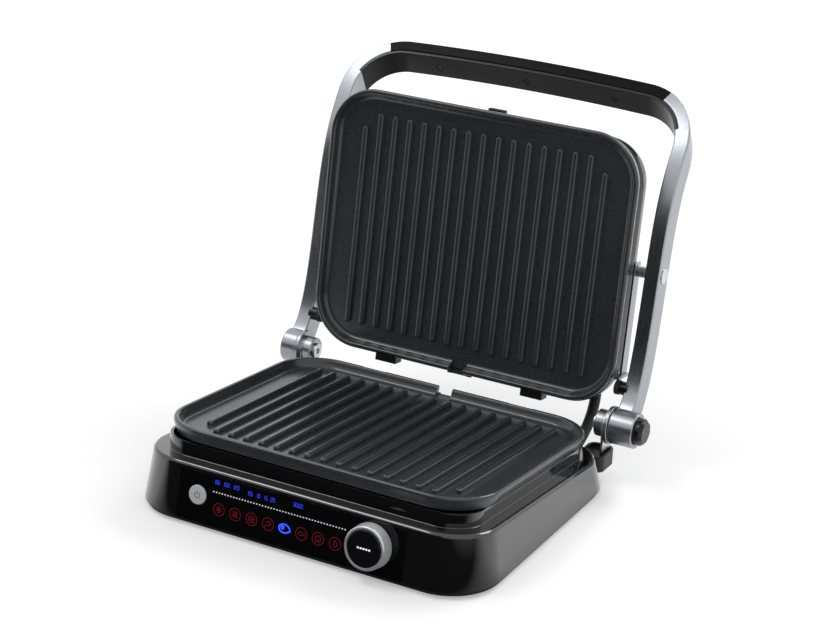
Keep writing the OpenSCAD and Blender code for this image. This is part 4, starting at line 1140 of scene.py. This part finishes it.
class Bow:
    """Finds points of the bent bar, t outside its inner edge and d behind its middle."""

    def __init__(self, s):
        self.s = s
        y, z = s.pivot.y, s.pivot.z
        lean = math.radians(12)  # how far the lid leans back at its pivot
        top = Vector((y + s.handle_back, s.handle_top))
        up = Vector((math.sin(lean), math.cos(lean)))
        start, pivot = Vector((s.hinge_y, s.hinge_z)), Vector((y, z))
        low = curve(start, start + Vector((36, 6)), pivot - 52 * up, pivot, count=13)
        high = curve(pivot, pivot + 58 * up, pivot + Vector((20, 100)), top, count=13)
        self.spine = [Vector(p) for p in low[:-1] + high] + [top + Vector((20, 20))]
        self.pivot_knot = len(low) - 1
        self.in_r = s.bow_r - s.arm_w
        self.mid = s.arm_in + s.arm_w - s.bow_r
        reach = top.x * math.cos(s.handle_lean) + top.y * math.sin(s.handle_lean)
        self.arch_y = reach - s.bow_arch
        self.corner = self.arch_y + math.sqrt((s.bow_arch - s.bow_r) ** 2 - self.mid**2)
        self.half = math.asin(self.mid / (s.bow_arch - s.bow_r))

    def knot(self, i, d):
        """A point of the spine, moved d off it."""
        i = max(0, min(i, len(self.spine) - 1))
        before, after = self.spine[max(i - 1, 0)], self.spine[min(i + 1, len(self.spine) - 1)]
        way = (after - before).normalized()
        return self.spine[i] + d * Vector((way.y, -way.x))

    def rail(self, v, d):
        """A point of the smooth line through the knots."""
        i = min(int(v), len(self.spine) - 2)
        f = v - i
        a, b, c, e = (self.knot(i + k, d) for k in (-1, 0, 1, 2))
        square, cube = 2 * a - 5 * b + 4 * c - e, 3 * b - a - 3 * c + e
        return 0.5 * (2 * b + (c - a) * f + square * f**2 + cube * f**3)

    def reach(self, p):
        """How far up the leaning handle a point lies."""
        return p.x * math.cos(self.s.handle_lean) + p.y * math.sin(self.s.handle_lean)

    def at_reach(self, reach, d):
        """The point of the line at that reach, found by halving."""
        low, high = 0.0, len(self.spine) - 1.0
        for _ in range(26):
            mid = (low + high) / 2
            if self.reach(self.rail(mid, d)) < reach:
                low = mid
            else:
                high = mid
        return self.rail(low, d)

    # Stations up the bow. Each gives a point for t and d: beside the lid as far as its
    # pivot, on to the shoulder, round the shoulder, and along the arch of the handle.

    def side(self, v):
        return lambda t, d: (self.s.arm_in + t, *self.rail(v, d))

    def rise(self, share):
        def point(t, d):
            start = self.reach(self.rail(self.pivot_knot, d))
            return (self.s.arm_in + t, *self.at_reach(start + share * (self.corner - start), d))

        return point

    def shoulder(self, a):
        def point(t, d):
            r = self.in_r + t
            return (self.mid + r * math.cos(a), *self.at_reach(self.corner + r * math.sin(a), d))

        return point

    def arch(self, a):
        def point(t, d):
            r = self.s.bow_arch - self.s.arm_w + t
            return (r * math.cos(a), *self.at_reach(self.arch_y + r * math.sin(a), d))

        return point

    def ring(self, station, t0, t1, edge, side=1):
        """A rounded section of the bar at one station."""
        mid, half = (t0 + t1) / 2, (t1 - t0) / 2
        points = []
        for t, d in rounded(2 * half, self.s.arm_d, edge, 4):
            x, y, z = station(mid + t, d)
            points.append(Vector((side * x, y, z)))
        return points

    def over_the_top(self, first):
        """Stations from one shoulder over the arch to the other, with their side."""
        quarter = math.pi / 2
        half = [(self.shoulder(a), 1) for a in spread(first, quarter - self.half, 12)]
        half += [(self.arch(a), 1) for a in spread(quarter - self.half, quarter, 8)[1:]]
        return half + [(station, -1) for station, _ in half[-2::-1]]

    def inner_face(self):
        """How high over the bar's frame the middle of its inner face lies."""
        lean = self.s.handle_lean
        slant = self.s.arm_w / math.cos(math.pi / 4 - lean)
        foot = self.spine[-2] - slant * Vector((1, 1)).normalized()
        return foot.y * math.cos(lean) - foot.x * math.sin(lean)


class GRILL_OT_bow(bpy.types.Operator):
    """Build the arms, the grip and its inner strip"""

    bl_idname = "grill.bow"
    bl_label = "Arms and Handle"

    def execute(self, context):
        s = measures()
        bow = Bow(s)
        edge, strip = s.arm_edge, s.cover_strip
        run = [bow.side(v) for v in spread(0, bow.pivot_knot, 31)]
        run += [bow.rise(f) for f in spread(0, 1, 26)[1:]]
        run += [bow.shoulder(a) for a in spread(0, s.cover_end, 8)[1:]]
        tip = [bow.shoulder(a) for a in spread(s.cover_end, s.grip_end, 14)]
        for side, name in ((-1, "left"), (1, "right")):
            rings = [bow.ring(station, 0, s.arm_w, edge, side) for station in run]
            rings += [bow.ring(station, strip, s.arm_w, edge, side) for station in tip]
            turned = Matrix.Translation(s.hinge) @ Matrix.Rotation(math.pi / 2, 4, "Y")
            turned = Matrix.Scale(side, 4, (1, 0, 0)) @ turned
            near, far = s.arm_in - 0.5, s.arm_in + s.arm_w + (9 if side > 0 else 0.5)
            bore, rim, cup, cup_floor = 5.2, 17, 13.05, far - 11.2
            hub = [(bore, near), (rim - 1.2, near), (rim - 0.4, near + 0.3), (rim, near + 1.1)]
            hub += [(rim, far - 1.4), (rim - 0.3, far - 0.4), (rim - 1, far), (rim - 3, far)]
            pocket = []
            if side > 0:
                hub += [(13.2, far - 0.3), (cup, far - 0.8), (cup, cup_floor), (bore, cup_floor)]
                pocket = [peg(cup, cup_floor, far + 1, turned)]
            else:
                hub += [(13.4, far - 0.4), (0.05, far - 0.4), (0.05, near)]
            bar = Shape().loft(rings)
            make("arm_bar_" + name, bar, "brushed_alu", "arms", "arm_" + name, cuts=pocket)
            shape = Shape().lathe(hub, turned, loop=True)
            make("arm_hub_" + name, shape, "brushed_alu", "arms", paint="turned_alu")
        top = bow.over_the_top(s.grip_end)
        rings = [bow.ring(station, strip, s.arm_w, 2.0, side) for station, side in top]
        make("handle_grip_swept", Shape().loft(rings), "grip_black", "arms", "handle_grip",
             width=0.4)
        top = bow.over_the_top(s.cover_end)
        rings = [bow.ring(station, 0, strip - 0.02, 0.5, side) for station, side in top]
        cuts = []
        face = bow.inner_face()
        for x in (-STRIP_SCREW_X, 0, STRIP_SCREW_X):
            reach = bow.arch_y + math.sqrt((s.bow_arch - s.arm_w) ** 2 - x * x)
            at = Matrix.Rotation(s.handle_lean, 4, "X") @ Matrix.Translation((x, reach, face))
            at = at @ Matrix.Rotation(-math.pi / 2, 4, "X")
            cuts.append(peg(STRIP_SCREW_R, -1, STRIP_SCREW_DEEP, at))
        make("handle_strip_swept", Shape().loft(rings), "grip_grey", "arms", "handle_cover",
             width=0.2, cuts=cuts)
        return {"FINISHED"}


# Small fittings that are solids with rounded edges.


class GRILL_OT_hinge(bpy.types.Operator):
    """Build the hinge posts, flanges, pins, sockets and the release button"""

    bl_idname = "grill.hinge"
    bl_label = "Hinge"

    def execute(self, context):
        rounded_copy("hinge_sockets", 1.6, 3)
        rounded_copy("hinge_posts", 0.35)
        rounded_copy("hinge_flanges", 0.7, 3, paint="turned_alu")
        rounded_copy("hinge_pins", 0.3)
        rounded_copy("release_button", 0.5, 3, paint="cap_black")
        return {"FINISHED"}


class GRILL_OT_lid(bpy.types.Operator):
    """Build the lid's frame, cover, straps, pivots and stops"""

    bl_idname = "grill.lid"
    bl_label = "Lid"

    def execute(self, context):
        rounded_copy("lid_housing", 1.2, 3)
        rounded_copy("lid_cover", 0.4)
        rounded_copy("lid_straps", 0.3, paint="brushed_alu")
        rounded_copy("pivot_pins", 0.35)
        rounded_copy("pivot_plugs", 0.35)
        rounded_copy("stop_bosses", 0.3, paint="cap_black")
        rounded_copy("stop_bumpers", 0.6, 3)
        rounded_copy("lid_latch", 0.8, 3)
        rounded_copy("lid_screws", 0.25)
        return {"FINISHED"}


class GRILL_OT_fittings(bpy.types.Operator):
    """Build the plate clips, tray, feet, gland and screws"""

    bl_idname = "grill.fittings"
    bl_label = "Small Fittings"

    def execute(self, context):
        for node in ("lower_clip_left", "lower_clip_right", "upper_clip_left", "upper_clip_right"):
            rounded_copy(node, 0.7, 3)
        rounded_copy("drip_tray", 0.5)
        rounded_copy("rubber_feet", 0.5)
        rounded_copy("cord_gland", 0.4)
        rounded_copy("sleeve_grommet", 0.4)
        rounded_copy("base_screws", 0.2)
        rounded_copy("handle_screws", 0.25, paint="panel_black")
        return {"FINISHED"}


# How far the sleeve's rings draw in, one after the other.
SLEEVE_FOLDS = (0.0, 0.15, 0.5, 0.15)


class GRILL_OT_cable_sleeve(bpy.types.Operator):
    """Build the ribbed sleeve that takes the lid's wires across the hinge"""

    bl_idname = "grill.cable_sleeve"
    bl_label = "Cable Sleeve"

    def execute(self, context):
        s = measures()
        a = s.back @ Vector((0, SLEEVE_V, -4))
        b = s.back @ Vector((0, SLEEVE_V, 28))
        d = s.lid @ Vector((0, s.housing_mid - s.cover_l / 2 + 8, s.cover_z - 13))
        c = d - Vector((0, 0, 24))
        line = curve((a.y, a.z), (b.y, b.z), (c.y, c.z), (d.y, d.z), count=141)
        rings = []
        for i, (y, z) in enumerate(line):
            before, after = line[max(i - 1, 0)], line[min(i + 1, len(line) - 1)]
            way = Vector((0, after[0] - before[0], after[1] - before[1])).normalized()
            side = Vector((0, -way.z, way.y))
            r = s.sleeve_r - SLEEVE_FOLDS[i % len(SLEEVE_FOLDS)]
            rings.append(
                [
                    Vector((s.sleeve_x + r * math.cos(k), y, z)) + side * r * math.sin(k)
                    for k in spread(0, math.tau, 25)[:-1]
                ]
            )
        thing = sheet_of("cable_sleeve_ribbed", Shape().loft(rings))
        soften(thing, 0)
        thing.data.materials.append(finish("sleeve_black"))
        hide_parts("cable_sleeve")
        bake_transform(thing)
        return {"FINISHED"}


class GRILL_OT_inner_parts(bpy.types.Operator):
    """Paint the parts that stay as they are"""

    bl_idname = "grill.inner_parts"
    bl_label = "Inner Parts"

    def execute(self, context):
        for node, thing in frame["nodes"].items():
            if not thing.hide_render:
                for place in thing.material_slots:
                    place.material = finish(SLOT_OF[node])
        return {"FINISHED"}


# Floor, light and camera.

WHITE = (1.0, 1.0, 1.0)
SENSOR = 36.0
FRAME_PIXELS, FOCAL_PIXELS = 833, 2238.69


def lamp(name, place, aim, width, depth, power):
    """A soft rectangular lamp, in metres and watts."""
    light = bpy.data.lights.new(name, "AREA")
    light.shape, light.size, light.size_y, light.energy = "RECTANGLE", width, depth, power
    thing = placed(name, light)
    thing.location = place
    thing.rotation_euler = (Vector(aim) - Vector(place)).to_track_quat("-Z", "Y").to_euler()


def card(name, corners, surface, mirrored_only=False):
    """A flat piece of the stage between four corners, in metres."""
    mesh = bpy.data.meshes.new(name)
    mesh.from_pydata(corners, [], [(0, 1, 2, 3)])
    mesh.materials.append(surface)
    thing = placed(name, mesh)
    if mirrored_only:
        thing.visible_camera = thing.visible_diffuse = thing.visible_shadow = False
        thing.visible_transmission = thing.visible_volume_scatter = False


class GRILL_OT_stage(bpy.types.Operator):
    """Lay the pale floor and set the lights, the dark cards and the camera"""

    bl_idname = "grill.stage"
    bl_label = "Stage"

    def execute(self, context):
        self.floor()
        self.studio(context.scene)
        self.camera(context.scene)
        context.scene.view_settings.view_transform = "Standard"
        return {"FINISHED"}

    def floor(self):
        """A pale floor that looks white and still takes the shadow."""
        surface = bpy.data.materials.new("floor_white")
        g = blank(surface)
        matte = g.node("ShaderNodeBsdfDiffuse", None, (0.86, 0.86, 0.865))
        lit = g.node("ShaderNodeEmission", None, WHITE, 0.34)
        both = g.node("ShaderNodeAddShader", None, matte, lit)
        mixed = g.node("ShaderNodeMixShader", None, g.seen(), matte, both)
        g.close("ShaderNodeOutputMaterial", "Surface", mixed)
        reach = 6.0
        corners = [(-reach, -reach, 0), (reach, -reach, 0), (reach, reach, 0), (-reach, reach, 0)]
        card("floor", corners, surface)

    def studio(self, scene):
        """White surroundings, two lamps, and the dark cards that the polished shell mirrors."""
        world = bpy.data.worlds.new("studio")
        scene.world = world
        g = blank(world)
        soft = g.node("ShaderNodeBackground", None, WHITE, 0.55)
        bright = g.node("ShaderNodeBackground", None, WHITE, 1.0)
        mixed = g.node("ShaderNodeMixShader", None, g.seen(), soft, bright)
        g.close("ShaderNodeOutputWorld", "Surface", mixed)
        middle = (0, 0.05, 0.12)
        lamp("key", (-1.8, -0.9, 3.7), middle, 2.2, 0.6, 28)
        lamp("rim", (1.2, 2.8, 3.0), middle, 2.8, 1.2, 56)
        self.flag("flag_low", (-3.0, -2.6, 0.002), (5.0, 0, 0), (0, 2.6, 0))
        self.flag("flag_high", (-3.0, -2.2, 0), (5.0, 0, 0), (0, 0, 1.3))

    def flag(self, name, corner, across, up):
        """A dark card that only reflections show, clear near the grill and to its right."""
        surface = bpy.data.materials.new(name + "_black")
        g = blank(surface)
        spot = g.node("ShaderNodeSeparateXYZ", None, g.place())
        x, y = spot.out("X"), spot.out("Y")
        dull = g.node("ShaderNodeBsdfDiffuse", None, (0.01, 0.01, 0.012))
        clear = g.node("ShaderNodeBsdfTransparent")
        near = g.fade(y, -0.17, -0.06)
        beside = g.fade(x, 0.36, 0.84)
        slanting = g.fade((y + 0.15) * 1.2 - x - 0.17, -0.06, 0.04)
        mixed = g.node("ShaderNodeMixShader", None, near + beside + slanting, dull, clear)
        g.close("ShaderNodeOutputMaterial", "Surface", mixed)
        first, across, up = Vector(corner), Vector(across), Vector(up)
        corners = [first, first + across, first + across + up, first + up]
        card(name, corners, surface, mirrored_only=True)

    def camera(self, scene):
        """A camera that looks down at the front, from a little to the right."""
        azimuth, elevation, roll = (math.radians(a) for a in (28.0, 21.6, 2.17))
        middle, distance, aside, above = Vector((0, -0.00075, 0.06625)), 2.04889, 0.03598, 0.11294
        flat = math.cos(elevation)
        back = Vector((math.sin(azimuth) * flat, -math.cos(azimuth) * flat, math.sin(elevation)))
        right = Vector((math.cos(azimuth), math.sin(azimuth), 0))
        up = back.cross(right)
        eye = back * distance + right * aside + up * above + middle
        across = math.cos(roll) * right + math.sin(roll) * up
        upward = math.cos(roll) * up - math.sin(roll) * right
        data = bpy.data.cameras.new("view")
        data.sensor_fit, data.sensor_width = "HORIZONTAL", SENSOR
        data.lens = FOCAL_PIXELS / FRAME_PIXELS * SENSOR
        data.shift_x, data.shift_y = -4.29 / FRAME_PIXELS, -5.58 / FRAME_PIXELS
        thing = placed("view", data)
        turned = Matrix((across, upward, back)).transposed().to_4x4()
        thing.matrix_world = Matrix.Translation(eye) @ turned
        scene.camera = thing


STEPS = (
    GRILL_OT_base_shell,
    GRILL_OT_control_panel,
    GRILL_OT_knob_and_keys,
    GRILL_OT_plates,
    GRILL_OT_bow,
    GRILL_OT_hinge,
    GRILL_OT_lid,
    GRILL_OT_fittings,
    GRILL_OT_cable_sleeve,
    GRILL_OT_inner_parts,
    GRILL_OT_stage,
)


class GRILL_PT_builder(bpy.types.Panel):
    """Lists the steps that build the grill"""

    bl_idname = "GRILL_PT_builder"
    bl_label = "Indoor Grill"
    bl_space_type = "VIEW_3D"
    bl_region_type = "UI"
    bl_category = "Grill"

    def draw(self, context):
        column = self.layout.column(align=True)
        for step in STEPS:
            column.operator(step.bl_idname)
        box = self.layout.box()
        for group in (context.scene.grill_sizes, context.scene.grill_tints):
            for key in group.bl_rna.properties.keys():
                if key not in SKIP:
                    box.prop(group, key)


CLASSES = (GrillSizes, GrillTints, *STEPS, GRILL_PT_builder)


def register():
    for each in CLASSES:
        bpy.utils.register_class(each)
    bpy.types.Scene.grill_sizes = bpy.props.PointerProperty(type=GrillSizes)
    bpy.types.Scene.grill_tints = bpy.props.PointerProperty(type=GrillTints)


def unregister():
    del bpy.types.Scene.grill_tints
    del bpy.types.Scene.grill_sizes
    for each in reversed(CLASSES):
        bpy.utils.unregister_class(each)


def main():
    register()
    for step in STEPS:
        group, name = step.bl_idname.split(".")
        getattr(getattr(bpy.ops, group), name)()


if __name__ == "__main__":
    main()
